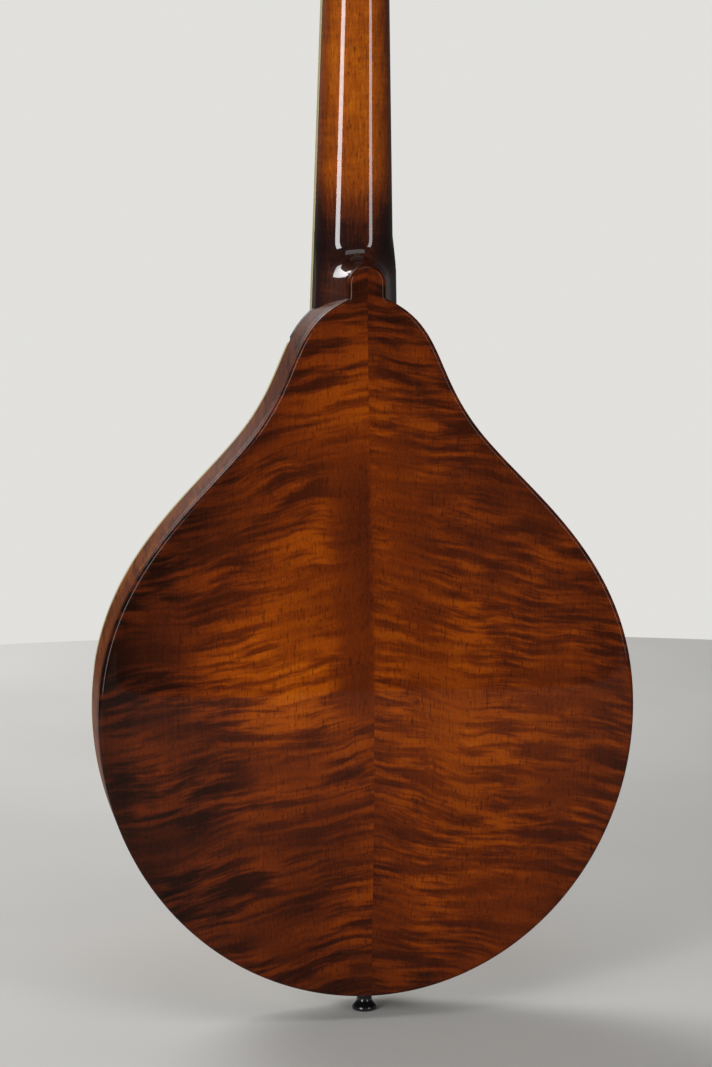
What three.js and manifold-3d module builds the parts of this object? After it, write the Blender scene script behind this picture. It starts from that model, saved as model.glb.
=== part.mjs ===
// An eight-string mandolin with a carved, pear-shaped body, life size, in millimetres.
// +X is the treble side, -Y the front with the strings, and +Z runs up the body to the neck.
// The origin is the centre of the strap button's outer face, and y = 0 halves the depth of the ribs.
import * as THREE from "three";
import { mergeVertices } from "three/addons/utils/BufferGeometryUtils.js";
import Module from "manifold-3d";

// ---- Driving dimensions ----

// Body outline, measured up from the tail
const BODY_LENGTH = 330;
const BODY_HALF_WIDTH = 127;
const WIDEST_HEIGHT = 135.5;
const WAIST_HALF_WIDTH = 51.3;
const WAIST_DROP = 60.2; // from the top of the body down to the waist
const WAIST_LEAN = 0.64; // radians between the flank and the centreline at the waist
const SHOULDER_REACH = 36; // how far out the shoulder is drawn before it turns in to the neck
const SHOULDER_DROP = 12.7;

// Body depth and plates
const RIB_DEPTH = 34;
const RIB_THICKNESS = 2.3;
const PLATE_EDGE = 4.5;
const ARCH_RISE = 11.5;
const ARCH_LAND = 0.08; // swell at which the arch has run out into the flat edge
const ARCH_FULLNESS = 1.4; // power of the swell: 1 is a soap film, more is a longer recurve
const CROWN_THICKNESS = 4.5;
const PLATE_THIN = 3.3; // plate thickness where the arch runs out
const BINDING_WIDTH = 1.6;
const BINDING_STOP = 21; // the binding ends this far below the top of the body
const LINING_WIDTH = 5;
const LINING_DEPTH = 7;
const HEEL_BUTTON_HALF = 8.8;
const HEEL_BUTTON_LENGTH = 15.5;
const SOUNDHOLE_HALF_WIDTH = 29;
const SOUNDHOLE_HALF_HEIGHT = 20;
const SOUNDHOLE_FROM_BRIDGE = 78;
const BRACE_DEPTH = 10;
const BRACE_WIDTH = 6;
const BRACE_BELOW_HOLE = 10;
const HEAD_BLOCK_LENGTH = 30;
const HEAD_BLOCK_HALF_WIDTH = 26;
const TAIL_BLOCK_LENGTH = 22;
const TAIL_BLOCK_HALF_WIDTH = 24;

// Neck and fingerboard
const SCALE = 352;
const BODY_FRET = 12; // the fret that lies over the joint of neck and body
const FRET_COUNT = 20;
const NECK_PITCH = THREE.MathUtils.degToRad(6);
const NECK_DEPTH_AT_NUT = 14.5;
const NECK_DEPTH_AT_HEEL = 16.5;
const NUT_HALF_WIDTH = 14.5;
const JOINT_HALF_WIDTH = 19.25;
const BOARD_THICKNESS = 6.3;
const BOARD_BINDING = 1.5;
const BOARD_PAST_LAST_FRET = 4;
const FRET_HEIGHT = 1.0;
const FRET_WIDTH = 2.0;
const NUT_THICKNESS = 4;
const NUT_HEIGHT = 8;
const HEEL_LENGTH = 27;
const TENON_HALF_AT_RIB = 6.5;
const TENON_HALF_AT_TIP = 8;
const TENON_LENGTH = 16;
const TRUSS_ROD_RADIUS = 2.4;
const TRUSS_ROD_SINK = 5;
const TRUSS_CHANNEL_HALF = 3;
const TRUSS_NUT_RADIUS = 3.4;
const TRUSS_NUT_LENGTH = 7;

// Head and tuners, measured from where the head tilts back
const HEAD_TILT = THREE.MathUtils.degToRad(14);
const HEAD_THICKNESS = 14;
const HEAD_LENGTH = 128;
const HEAD_HALF_AT_FIRST_POST = 31;
const HEAD_HALF_AT_TOP = 34;
const HEADPLATE_THICKNESS = 2;
const FIRST_POST = 30;
const POST_SPACING = 22.8;
const POSTS_PER_SIDE = 4;
const POST_X = 18.5;
const POST_RADIUS = 3;
const POST_STANDS = 11.5; // above the headplate
const POST_HOLE_RADIUS = 4.4;
const GEAR_TEETH = 14;
const WORM_LEAD = 2.2;
const WORM_PITCH_RADIUS = 2.2;
const WORM_CREST_RADIUS = 2.8;
const WORM_CORE_RADIUS = 1.4;
const WORM_HALF_LENGTH = 3.5;
const GEAR_HALF_WIDTH = 1;
const TUNER_PLATE_THICKNESS = 1.2;
const GEAR_ABOVE_PLATE = 3.5; // from the plate's face to the gear's middle
const EAR_THICKNESS = 1.2;
const EAR_HALF_HEIGHT = 2.8;
const EAR_BORE_RADIUS = 2;
const EAR_OFFSET = 3.9;
const KEY_REACH = 19; // from the post's axis to where the key's button starts
const KEY_BUTTON_LENGTH = 12;
const KEY_BUTTON_HALF_WIDTH = 7.5;
const KEY_BUTTON_THICKNESS = 6;

// Bridge
const BRIDGE_HALF_LENGTH = 57;
const BRIDGE_DEPTH = 11;
const BRIDGE_FOOT = 2.6; // height of the base at its ends
const BRIDGE_BASE = 5; // height of the base at its middle
const STUD_X = 33;
const STUD_RADIUS = 1.9;
const STUD_SINK = 3.5;
const STUD_RISE = 5; // above the wheel
const WHEEL_RADIUS = 6.3;
const WHEEL_THICKNESS = 2.6;
const WHEEL_STEP = 1.4; // open travel below the wheel
const SADDLE_HALF_LENGTH = 43;
const SADDLE_TOP_HALF = 24;
const SADDLE_END = 4.5; // height of the saddle at its ends
const SADDLE_CREST = 2; // depth of the saddle under the strings
const SADDLE_DEPTH = 7;
const SADDLE_BORE_RADIUS = 2.5;

// Tailpiece and strap button
const TAILPIECE_HALF_WIDTH = 17;
const TAILPIECE_METAL = 1.2;
const TAILPIECE_LENGTH = 32; // from the tail over the soundboard
const TAILPIECE_FLANGE = 29; // down over the ribs
const HOOK_HEIGHT_ON_BODY = 26;
const HOOK_RISE = 5;
const HOOK_HALF_WIDTH = 1;
const COVER_HALF_WIDTH = 20;
const COVER_METAL = 1;
const COVER_LENGTH = 54;
const STRAP_BUTTON_RADIUS = 6;
const STRAP_BUTTON_LENGTH = 12;
const STRAP_PIN_RADIUS = 2.5;
const STRAP_PIN_LENGTH = 20;

// Strings, from the lowest course to the highest, two alike in each
const COURSE_RADII = [0.5, 0.33, 0.2, 0.14];
const COURSES_AT_NUT = 7.3;
const PAIR_AT_NUT = 2;
const COURSES_AT_BRIDGE = 12.3;
const PAIR_AT_BRIDGE = 2.8;
const HOOK_SPACING = 4.2;
const ACTION_AT_NUT = 0.7;
const ACTION_AT_BODY_FRET = 1.8;
const WINDING_TURNS = 2;
const WINDING_SIDES = 6;

// Clearances
const GLUE = 0.3; // between glued or seated pieces
const RUN = 0.4; // around pins and screws

// ---- Derived places ----

const TAIL = STRAP_BUTTON_LENGTH; // height of the body's tail above the origin
const JOINT = TAIL + BODY_LENGTH;
const RIB_FACE = RIB_DEPTH / 2;
const PLATE_FACE = RIB_FACE + PLATE_EDGE;
const BODY_FRET_LENGTH = SCALE * (1 - 2 ** (-BODY_FRET / 12)); // from nut to joint
const NUT_AT = BODY_FRET_LENGTH; // along the neck from the joint
const BOARD_END = NUT_AT - fretDistance(FRET_COUNT) - BOARD_PAST_LAST_FRET;
const HEAD_AT = NUT_AT + NUT_THICKNESS;
const FRET_CROWN = GLUE + BOARD_THICKNESS + FRET_HEIGHT;
const STRING_AT_NUT = FRET_CROWN + ACTION_AT_NUT; // underside of the strings above the neck's face
const STRING_AT_JOINT = FRET_CROWN + ACTION_AT_BODY_FRET;
const BOARD_TAPER = (JOINT_HALF_WIDTH - NUT_HALF_WIDTH) / NUT_AT;
const PLATE_BACK = HEAD_THICKNESS + GLUE; // depth of the tuner plates' seat on the head
const GEAR_DEPTH = PLATE_BACK + TUNER_PLATE_THICKNESS + GEAR_ABOVE_PLATE;
const GEAR_PITCH_RADIUS = (WORM_LEAD * GEAR_TEETH) / (2 * Math.PI);
const WORM_OFFSET = GEAR_PITCH_RADIUS + WORM_PITCH_RADIUS;

function fretDistance(fret) {
  return SCALE * (1 - 2 ** (-fret / 12));
}

function boardHalfWidth(along) {
  return JOINT_HALF_WIDTH - BOARD_TAPER * along;
}

// ---- Frames: the neck pitches back from the joint, and the head tilts back from the nut ----

const mandolin = new THREE.Group();
const neckFrame = new THREE.Group();
neckFrame.position.set(0, -PLATE_FACE - GLUE, JOINT);
neckFrame.rotation.x = -NECK_PITCH;
mandolin.add(neckFrame);
const headFrame = new THREE.Group();
headFrame.position.set(0, 0, HEAD_AT);
headFrame.rotation.x = -HEAD_TILT;
neckFrame.add(headFrame);
mandolin.updateMatrixWorld(true);

// ---- Solids ----

const wasm = await Module();
wasm.setup();

function solidOf(geometry) {
  const bare = new THREE.BufferGeometry();
  const loose = geometry.index ? geometry.toNonIndexed() : geometry;
  bare.setAttribute("position", loose.getAttribute("position"));
  const merged = mergeVertices(bare, 1e-4);
  return new wasm.Manifold(
    new wasm.Mesh({
      numProp: 3,
      vertProperties: merged.attributes.position.array,
      triVerts: new Uint32Array(merged.index.array),
    }),
  );
}

function geometryOf(solid) {
  const mesh = solid.simplify(0.002).getMesh();
  const geometry = new THREE.BufferGeometry();
  const positions = new THREE.BufferAttribute(mesh.vertProperties, 3);
  geometry.setAttribute("position", positions);
  geometry.setIndex(new THREE.BufferAttribute(mesh.triVerts, 1));
  geometry.computeVertexNormals();
  return geometry;
}

// A closed surface through rings of equal length. The first and last rings are capped by a fan
// round their middle, or joined to each other where wrap is true.
function loft(rings, wrap = false) {
  const count = rings[0].length;
  const points = rings.flat();
  const index = [];
  const joins = wrap ? rings.length : rings.length - 1;
  for (let r = 0; r < joins; r++) {
    const next = (r + 1) % rings.length;
    for (let i = 0; i < count; i++) {
      const j = (i + 1) % count;
      const [a, b] = [r * count + i, r * count + j];
      const [c, d] = [next * count + i, next * count + j];
      index.push(a, b, d, a, d, c);
    }
  }
  if (!wrap) {
    for (const [ring, start, turn] of [
      [rings[0], 0, true],
      [rings.at(-1), (rings.length - 1) * count, false],
    ]) {
      const middle = new THREE.Vector3();
      ring.forEach((p) => middle.addScaledVector(p, 1 / count));
      const hub = points.push(middle) - 1;
      for (let i = 0; i < count; i++) {
        const [a, b] = [start + i, start + ((i + 1) % count)];
        index.push(hub, ...(turn ? [b, a] : [a, b]));
      }
    }
  }
  const geometry = new THREE.BufferGeometry().setFromPoints(points);
  geometry.setIndex(facingOut(points, index));
  geometry.computeVertexNormals();
  return geometry;
}

// The triangles in the order that makes the volume they enclose positive.
function facingOut(points, index) {
  let volume = 0;
  for (let i = 0; i < index.length; i += 3) {
    const [a, b, c] = [points[index[i]], points[index[i + 1]], points[index[i + 2]]];
    volume += a.dot(b.clone().cross(c));
  }
  return volume > 0 ? index : index.toReversed();
}

// A flat outline in X and Z, extruded from y = front to y = back.
function slab(outline, front, back) {
  const shape = new THREE.Shape(outline.map((p) => new THREE.Vector2(p.x, p.z)));
  const geometry = new THREE.ExtrudeGeometry(shape, { depth: back - front, bevelEnabled: false });
  return geometry.rotateX(Math.PI / 2).translate(0, back, 0);
}

// A flat outline in X and Y, extruded from z = low to z = high.
function upright(outline, low, high) {
  const shape = new THREE.Shape(outline.map((p) => new THREE.Vector2(p.x, p.y)));
  const geometry = new THREE.ExtrudeGeometry(shape, { depth: high - low, bevelEnabled: false });
  return geometry.translate(0, 0, low);
}

function box(x0, x1, y0, y1, z0, z1) {
  const geometry = new THREE.BoxGeometry(x1 - x0, y1 - y0, z1 - z0);
  return geometry.translate((x0 + x1) / 2, (y0 + y1) / 2, (z0 + z1) / 2);
}

// A cylinder from one place to another along an axis ("x", "y" or "z").
function rod(axis, radius, from, to, sides = 12) {
  const geometry = new THREE.CylinderGeometry(radius, radius, to - from, sides);
  if (axis === "x") geometry.rotateZ(-Math.PI / 2);
  if (axis === "z") geometry.rotateX(Math.PI / 2);
  const middle = (from + to) / 2;
  return geometry.translate(
    axis === "x" ? middle : 0,
    axis === "y" ? middle : 0,
    axis === "z" ? middle : 0,
  );
}

function add(parent, name, geometry, material) {
  const mesh = new THREE.Mesh(geometry, material);
  mesh.name = name;
  parent.add(mesh);
  return mesh;
}

// ---- Materials ----

function finish(color, roughness, metalness = 0) {
  return new THREE.MeshStandardMaterial({ color, roughness, metalness });
}

const flamedMaple = finish(0x7a3208, 0.15);
const ribMaple = finish(0x4f1d0c, 0.18);
const spruce = finish(0xb5651d, 0.2);
const rawWood = finish(0xd8b483, 0.7);
const ebony = finish(0x17120f, 0.4);
const ivoroid = finish(0xe8dc98, 0.35);
const bone = finish(0xeee6d0, 0.4);
const nickel = finish(0xc9c6bf, 0.2, 1);
const brass = finish(0xb08d4f, 0.3, 1);
const steel = finish(0xc4c6c8, 0.25, 1);
const bronze = finish(0xb87a4a, 0.3, 1);
const pearloid = finish(0xe9e4d4, 0.25);
const blackPlastic = finish(0x101010, 0.3);

// ---- Body outline ----

// The treble half of the outline, from the tail's middle up to the heel button.
function halfEdgeCurve() {
  const waistHeight = BODY_LENGTH - WAIST_DROP;
  const rise = waistHeight - WIDEST_HEIGHT;
  const waist = new THREE.Vector2(WAIST_HALF_WIDTH, waistHeight);
  const up = new THREE.Vector2(-Math.sin(WAIST_LEAN), Math.cos(WAIST_LEAN));
  const widest = new THREE.Vector2(BODY_HALF_WIDTH, WIDEST_HEIGHT);
  const curve = new THREE.CurvePath();
  curve.add(
    new THREE.EllipseCurve(0, WIDEST_HEIGHT, BODY_HALF_WIDTH, WIDEST_HEIGHT, -Math.PI / 2, 0),
  );
  curve.add(
    new THREE.CubicBezierCurve(
      widest,
      new THREE.Vector2(BODY_HALF_WIDTH, WIDEST_HEIGHT + 0.53 * rise),
      waist.clone().addScaledVector(up, -0.29 * rise),
      waist,
    ),
  );
  curve.add(
    new THREE.CubicBezierCurve(
      waist,
      waist.clone().addScaledVector(up, 0.57 * WAIST_DROP),
      new THREE.Vector2(SHOULDER_REACH, BODY_LENGTH - SHOULDER_DROP),
      new THREE.Vector2(HEEL_BUTTON_HALF, BODY_LENGTH),
    ),
  );
  return curve;
}

const ARC_STEPS = [13, 6, 7];

// Samples of the half outline: each a point and the normal that points out of the body.
const halfEdge = halfEdgeCurve().curves.flatMap((curve, k) =>
  Array.from({ length: ARC_STEPS[k] + (k === 2 ? 1 : 0) }, (_, i) => {
    const share = i / ARC_STEPS[k];
    const tangent = curve.getTangent(share);
    return { point: curve.getPoint(share), out: new THREE.Vector2(tangent.y, -tangent.x) };
  }),
);

// The half outline moved inwards, on side 1 (treble) or -1 (bass), between two heights.
function edgePoints(side, inset, from = 0, to = BODY_LENGTH) {
  const insetAt = typeof inset === "function" ? inset : () => inset;
  return halfEdge
    .filter(({ point }) => point.y >= from && point.y <= to)
    .map(({ point, out }) => {
      const moved = point.clone().addScaledVector(out, -insetAt(point.y));
      return { x: side * Math.max(moved.x, 0), z: TAIL + moved.y };
    });
}

// The whole outline as one loop that starts at the tail.
function bodyLoop(inset) {
  return [...edgePoints(1, inset), ...edgePoints(-1, inset).reverse().slice(0, -1)];
}

function ringAt(loop, y) {
  return loop.map((p) => new THREE.Vector3(p.x, y, p.z));
}

// ---- Arching of the plates ----

const bridgeOnNeck = new THREE.Vector3(
  0,
  -(STRING_AT_JOINT + stringSlope() * (SCALE - NUT_AT)),
  NUT_AT - SCALE,
);
const bridgeCrown = bridgeOnNeck.clone().applyMatrix4(neckFrame.matrixWorld);
const ARCH_CENTRE = bridgeCrown.z;
const edgeLoop = bodyLoop(0);

function stringSlope() {
  return (STRING_AT_JOINT - STRING_AT_NUT) / NUT_AT;
}

// The swell of a soap film blown up over the outline: 1 at its top, 0 all along the outline.
// It is -(x^2 + z^2) / 4 plus the even harmonic polynomials that bring it to 0 at the outline.
const SWELL_TERMS = 10;
const swellFactors = fitSwell();
const swellPeak = Math.max(
  ...Array.from({ length: 201 }, (_, i) => film(0, TAIL + (BODY_LENGTH * i) / 200)),
);

function harmonics(x, z) {
  const unit = BODY_LENGTH / 2;
  const [re, im] = [(z - TAIL) / unit - 1, x / unit];
  const terms = [1];
  let [a, b] = [1, 0];
  for (let k = 1; k <= SWELL_TERMS; k++) {
    [a, b] = [a * re - b * im, a * im + b * re];
    terms.push(a);
  }
  return { terms, sag: (re * re + im * im) / 4 };
}

function film(x, z) {
  const { terms, sag } = harmonics(x, z);
  return terms.reduce((sum, term, k) => sum + swellFactors[k] * term, -sag);
}

// Least squares: the factors that make the film meet the outline, by Gaussian elimination.
function fitSwell() {
  const size = SWELL_TERMS + 1;
  const rows = Array.from({ length: size }, () => new Array(size + 1).fill(0));
  const edge = halfEdgeCurve().curves.flatMap((curve) => curve.getSpacedPoints(60));
  for (const point of edge) {
    const { terms, sag } = harmonics(point.x, TAIL + point.y);
    rows.forEach((row, i) => {
      terms.forEach((term, j) => (row[j] += terms[i] * term));
      row[size] += terms[i] * sag;
    });
  }
  for (let k = 0; k < size; k++) {
    rows.slice(k + 1).forEach((row) => {
      const factor = row[k] / rows[k][k];
      for (let j = k; j <= size; j++) row[j] -= factor * rows[k][j];
    });
  }
  const factors = new Array(size).fill(0);
  for (let k = size - 1; k >= 0; k--) {
    const known = factors.reduce((sum, factor, j) => sum + factor * rows[k][j], 0);
    factors[k] = (rows[k][size] - known) / rows[k][k];
  }
  return factors;
}

function swell(x, z) {
  return THREE.MathUtils.clamp(film(x, z) / swellPeak, 0, 1);
}

// Height of the carved arch over the plate's flat edge.
function archAt(swollen) {
  return ARCH_RISE * Math.max(0, (swollen - ARCH_LAND) / (1 - ARCH_LAND)) ** ARCH_FULLNESS;
}

function outerDepth(x, z) {
  return PLATE_FACE + archAt(swell(x, z));
}

function innerDepth(x, z) {
  const swollen = swell(x, z);
  const thickness = THREE.MathUtils.lerp(PLATE_THIN, CROWN_THICKNESS, swollen);
  return PLATE_FACE + archAt(swollen) - thickness;
}

function ringTowardsEdge(inner, outer, share, depth) {
  return outer.map((p, i) => {
    const x = THREE.MathUtils.lerp(inner[i].x, p.x, share);
    const z = THREE.MathUtils.lerp(inner[i].z, p.z, share);
    return new THREE.Vector3(x, depth(x, z), z);
  });
}

// ---- Body ----

const LINING_INSET = RIB_THICKNESS + GLUE;
const GLUE_LAND = LINING_INSET + LINING_WIDTH; // flat land where a plate meets rib and lining
const soundholeHeight = ARCH_CENTRE + SOUNDHOLE_FROM_BRIDGE;
const strapHole = solidOf(rod("z", STRAP_PIN_RADIUS + RUN, 0, TAIL + STRAP_PIN_LENGTH + 2));

function makeBackPlate() {
  const shares = [0.15, 0.32, 0.5, 0.66, 0.8, 0.91];
  const centre = edgeLoop.map(() => ({ x: 0, z: ARCH_CENTRE }));
  const rings = shares.map((s) => ringTowardsEdge(centre, edgeLoop, s, outerDepth));
  rings.push(
    ringAt(bodyLoop(1.6), PLATE_FACE),
    ringAt(bodyLoop(0.5), PLATE_FACE - 0.5),
    ringAt(edgeLoop, PLATE_FACE - 1.6),
    ringAt(edgeLoop, RIB_FACE),
    ringAt(bodyLoop(GLUE_LAND), RIB_FACE),
  );
  const land = bodyLoop(GLUE_LAND + 3);
  for (const s of [0.97, 0.85, 0.68, 0.5, 0.3, 0.15])
    rings.push(ringTowardsEdge(centre, land, s, innerDepth));
  const plate = solidOf(loft(rings));
  const button = solidOf(slab(heelButtonOutline(), RIB_FACE, PLATE_FACE));
  add(mandolin, "back_plate", geometryOf(plate.add(button)), flamedMaple);
}

// The round-ended tongue of the back that caps the heel.
function heelButtonOutline() {
  const top = JOINT + HEEL_BUTTON_LENGTH - HEEL_BUTTON_HALF;
  const steps = 10;
  const points = [
    { x: -HEEL_BUTTON_HALF, z: JOINT - SHOULDER_DROP },
    { x: HEEL_BUTTON_HALF, z: JOINT - SHOULDER_DROP },
  ];
  for (let i = 0; i <= steps; i++) {
    const turn = (Math.PI * i) / steps;
    points.push({
      x: HEEL_BUTTON_HALF * Math.cos(turn),
      z: top + HEEL_BUTTON_HALF * Math.sin(turn),
    });
  }
  return points;
}

function soundholeLoop(outer, margin = 0) {
  return outer.map((p) => {
    const turn = Math.atan2(p.z - soundholeHeight, p.x);
    return {
      x: (SOUNDHOLE_HALF_WIDTH + margin) * Math.cos(turn),
      z: soundholeHeight + (SOUNDHOLE_HALF_HEIGHT + margin) * Math.sin(turn),
    };
  });
}

function soundboardSolid() {
  const bindingTop = BODY_LENGTH - BINDING_STOP;
  const outer = bodyLoop((height) => (height <= bindingTop ? BINDING_WIDTH + GLUE : 0));
  const land = bodyLoop(GLUE_LAND);
  const front = (x, z) => -outerDepth(x, z);
  const inside = (x, z) => -innerDepth(x, z);
  const hole = soundholeLoop(outer);
  const rings = [0, 0.12, 0.3, 0.48, 0.64, 0.78, 0.9].map((s) =>
    ringTowardsEdge(hole, outer, s, front),
  );
  rings.push(ringAt(outer, -PLATE_FACE), ringAt(outer, -RIB_FACE), ringAt(land, -RIB_FACE));
  for (const s of [0.88, 0.72, 0.54, 0.36, 0.16, 0])
    rings.push(ringTowardsEdge(hole, land, s, inside));
  return solidOf(loft(rings, true));
}

// A strip that follows the treble (1) or bass (-1) side of the outline between two insets.
function stripAlongEdge(side, outside, inside, front, back, from, to) {
  const outer = edgePoints(side, outside, from, to);
  const inner = edgePoints(side, inside, from, to);
  for (const p of [outer[0], inner[0]]) p.x = side * Math.max(Math.abs(p.x), GLUE / 2);
  return slab([...outer, ...inner.reverse()], front, back);
}

function makeRibs() {
  const bindingTop = BODY_LENGTH - BINDING_STOP;
  const liningTop = BODY_LENGTH - HEAD_BLOCK_LENGTH - 8;
  const liningStart = TAIL_BLOCK_HALF_WIDTH ** 2 / (2 * WIDEST_HEIGHT) + 3;
  for (const [side, name] of [[1, "treble"], [-1, "bass"]]) {
    const rib = solidOf(stripAlongEdge(side, 0, RIB_THICKNESS, -RIB_FACE, RIB_FACE));
    add(mandolin, `rib_${name}`, geometryOf(rib.subtract(strapHole)), ribMaple);
    add(
      mandolin,
      `binding_${name}`,
      stripAlongEdge(side, 0, BINDING_WIDTH, -PLATE_FACE, -RIB_FACE, 0, bindingTop),
      ivoroid,
    );
    for (const [plate, front] of [["top", -RIB_FACE + GLUE], ["back", RIB_FACE - GLUE - LINING_DEPTH]])
      add(
        mandolin,
        `${plate}_lining_${name}`,
        stripAlongEdge(
          side,
          LINING_INSET,
          LINING_INSET + LINING_WIDTH,
          front,
          front + LINING_DEPTH,
          liningStart,
          liningTop,
        ),
        rawWood,
      );
  }
}

function makeBlocks() {
  const face = RIB_FACE - GLUE;
  const inside = solidOf(slab(bodyLoop(RIB_THICKNESS + GLUE), -face, face));
  const tail = solidOf(
    box(
      -TAIL_BLOCK_HALF_WIDTH,
      TAIL_BLOCK_HALF_WIDTH,
      -face,
      face,
      TAIL,
      TAIL + RIB_THICKNESS + TAIL_BLOCK_LENGTH,
    ),
  );
  add(mandolin, "tail_block", geometryOf(tail.intersect(inside).subtract(strapHole)), rawWood);
  const head = solidOf(
    box(
      -HEAD_BLOCK_HALF_WIDTH,
      HEAD_BLOCK_HALF_WIDTH,
      -face,
      face,
      JOINT - HEAD_BLOCK_LENGTH,
      JOINT,
    ),
  );
  const socket = solidOf(tenonGeometry(GLUE));
  add(mandolin, "head_block", geometryOf(head.intersect(inside).subtract(socket)), rawWood);
}

// The soundboard, and a cross brace that is fitted under it just below the soundhole.
function makeTop() {
  const board = soundboardSolid();
  add(mandolin, "soundboard", geometryOf(board), spruce);
  const middle = soundholeHeight - SOUNDHOLE_HALF_HEIGHT - BRACE_BELOW_HOLE;
  const [low, high] = [middle - BRACE_WIDTH / 2, middle + BRACE_WIDTH / 2];
  const reach = halfWidthAt(high) - GLUE_LAND - GLUE;
  const steps = 12;
  const rough = Array.from({ length: steps + 1 }, (_, i) => {
    const x = reach * (1 - (2 * i) / steps);
    const depth = Math.max(RIB_FACE, innerDepth(x, middle));
    return { x, y: -depth - PLATE_THIN / 2 };
  });
  const crown = BRACE_DEPTH - innerDepth(0, middle);
  const outline = [...rough, { x: -0.7 * reach, y: crown }, { x: 0.7 * reach, y: crown }];
  const blank = solidOf(upright(outline, low, high));
  const fitted = blank.subtract(board.translate(0, GLUE, 0));
  add(mandolin, "soundboard_brace", geometryOf(fitted), rawWood);
}

// Half the body's width at a height above the origin.
function halfWidthAt(z) {
  const above = halfEdge.findIndex(({ point }) => TAIL + point.y >= z);
  const [a, b] = [halfEdge[above - 1].point, halfEdge[above].point];
  return THREE.MathUtils.mapLinear(z - TAIL, a.y, b.y, a.x, b.x);
}

// The flared tenon that locks the neck into the head block.
function tenonGeometry(margin) {
  const [rib, tip] = [TENON_HALF_AT_RIB + margin, TENON_HALF_AT_TIP + margin];
  const bottom = JOINT - TENON_LENGTH - margin;
  const outline = [
    { x: -tip, z: bottom },
    { x: tip, z: bottom },
    { x: rib, z: JOINT + 2 },
    { x: -rib, z: JOINT + 2 },
  ];
  const face = RIB_FACE - GLUE;
  return slab(outline, -face + GLUE - margin, face - 4 + margin);
}

// ---- Neck ----

const toNeck = neckFrame.matrixWorld.clone().invert();

// The shaft's section: flat under the fingerboard, and a rounded D behind it.
function shaftRing(along, halfWidth, depth) {
  const steps = 12;
  const ring = [];
  for (let i = 0; i <= steps; i++) {
    const turn = (Math.PI * i) / steps;
    const x = halfWidth * Math.cos(turn);
    ring.push(new THREE.Vector3(x, depth * Math.sin(turn) ** 0.8, along));
  }
  return ring;
}

// The heel's section at a depth: a tongue that narrows and shortens towards the heel button.
function heelRing(depth, halfWidth, top) {
  const steps = 8;
  const ring = [
    new THREE.Vector3(-halfWidth, depth, JOINT - 2 * SHOULDER_DROP),
    new THREE.Vector3(halfWidth, depth, JOINT - 2 * SHOULDER_DROP),
  ];
  const centre = JOINT + top - halfWidth * 0.8;
  for (let i = 0; i <= steps; i++) {
    const turn = (Math.PI * i) / steps;
    const rise = Math.max(0, Math.sin(turn)) * halfWidth * 0.8;
    ring.push(new THREE.Vector3(halfWidth * Math.cos(turn), depth, centre + rise));
  }
  return ring;
}

function makeNeck() {
  const stations = [0, 0.25, 0.5, 0.75, 1].map((share) => share * HEAD_AT);
  const shaft = loft(
    stations.map((along) => {
      const share = along / HEAD_AT;
      const depth = THREE.MathUtils.lerp(NECK_DEPTH_AT_HEEL, NECK_DEPTH_AT_NUT, share);
      return shaftRing(along, boardHalfWidth(along), depth);
    }),
  );
  const heelSection = [
    [-PLATE_FACE + 2, JOINT_HALF_WIDTH - 0.6, HEEL_LENGTH + 6],
    [-RIB_FACE * 0.4, JOINT_HALF_WIDTH - 2, HEEL_LENGTH],
    [0, JOINT_HALF_WIDTH - 6, HEEL_LENGTH - 5],
    [RIB_FACE * 0.5, HEEL_BUTTON_HALF + 1.5, HEEL_BUTTON_LENGTH + 1],
    [RIB_FACE - GLUE, HEEL_BUTTON_HALF, HEEL_BUTTON_LENGTH],
  ];
  const heel = loft(heelSection.map((section) => heelRing(...section))).applyMatrix4(toNeck);
  const riser = loft(
    [0.1, BOARD_END + 1].map((along) => {
      const half = boardHalfWidth(along) - BOARD_BINDING;
      return [[half, 0], [-half, 0], [-half, 9], [half, 9]].map(
        ([x, y]) => new THREE.Vector3(x, y, along),
      );
    }),
  );
  const body = solidOf(slab(bodyLoop(-GLUE), -PLATE_FACE, PLATE_FACE).applyMatrix4(toNeck));
  const heelFront = solidOf(box(-60, 60, -60, 0, -60, NUT_AT));
  const channel = solidOf(
    box(
      -TRUSS_CHANNEL_HALF,
      TRUSS_CHANNEL_HALF,
      -1,
      TRUSS_ROD_SINK + TRUSS_CHANNEL_HALF,
      8,
      HEAD_AT + 1,
    ),
  );
  const neck = solidOf(shaft)
    .add(solidOf(heel))
    .add(solidOf(riser))
    .subtract(body)
    .subtract(archPlug())
    .add(solidOf(tenonGeometry(0).applyMatrix4(toNeck)))
    .add(headSolid())
    .subtract(heelFront)
    .subtract(channel)
    .subtract(trussPocket());
  add(neckFrame, "neck", geometryOf(neck), ribMaple);
}

// The soundboard's outer form moved out by the glue gap, to fit the neck's tongue over the arch.
function archPlug() {
  const centre = edgeLoop.map(() => ({ x: 0, z: ARCH_CENTRE }));
  const front = (x, z) => -outerDepth(x, z) - GLUE;
  const rings = [0.15, 0.32, 0.5, 0.6, 0.7, 0.8, 0.91, 1].map((s) =>
    ringTowardsEdge(centre, edgeLoop, s, front),
  );
  rings.push(ringAt(edgeLoop, 0));
  return solidOf(loft(rings).applyMatrix4(toNeck));
}

// ---- Head ----

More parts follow.
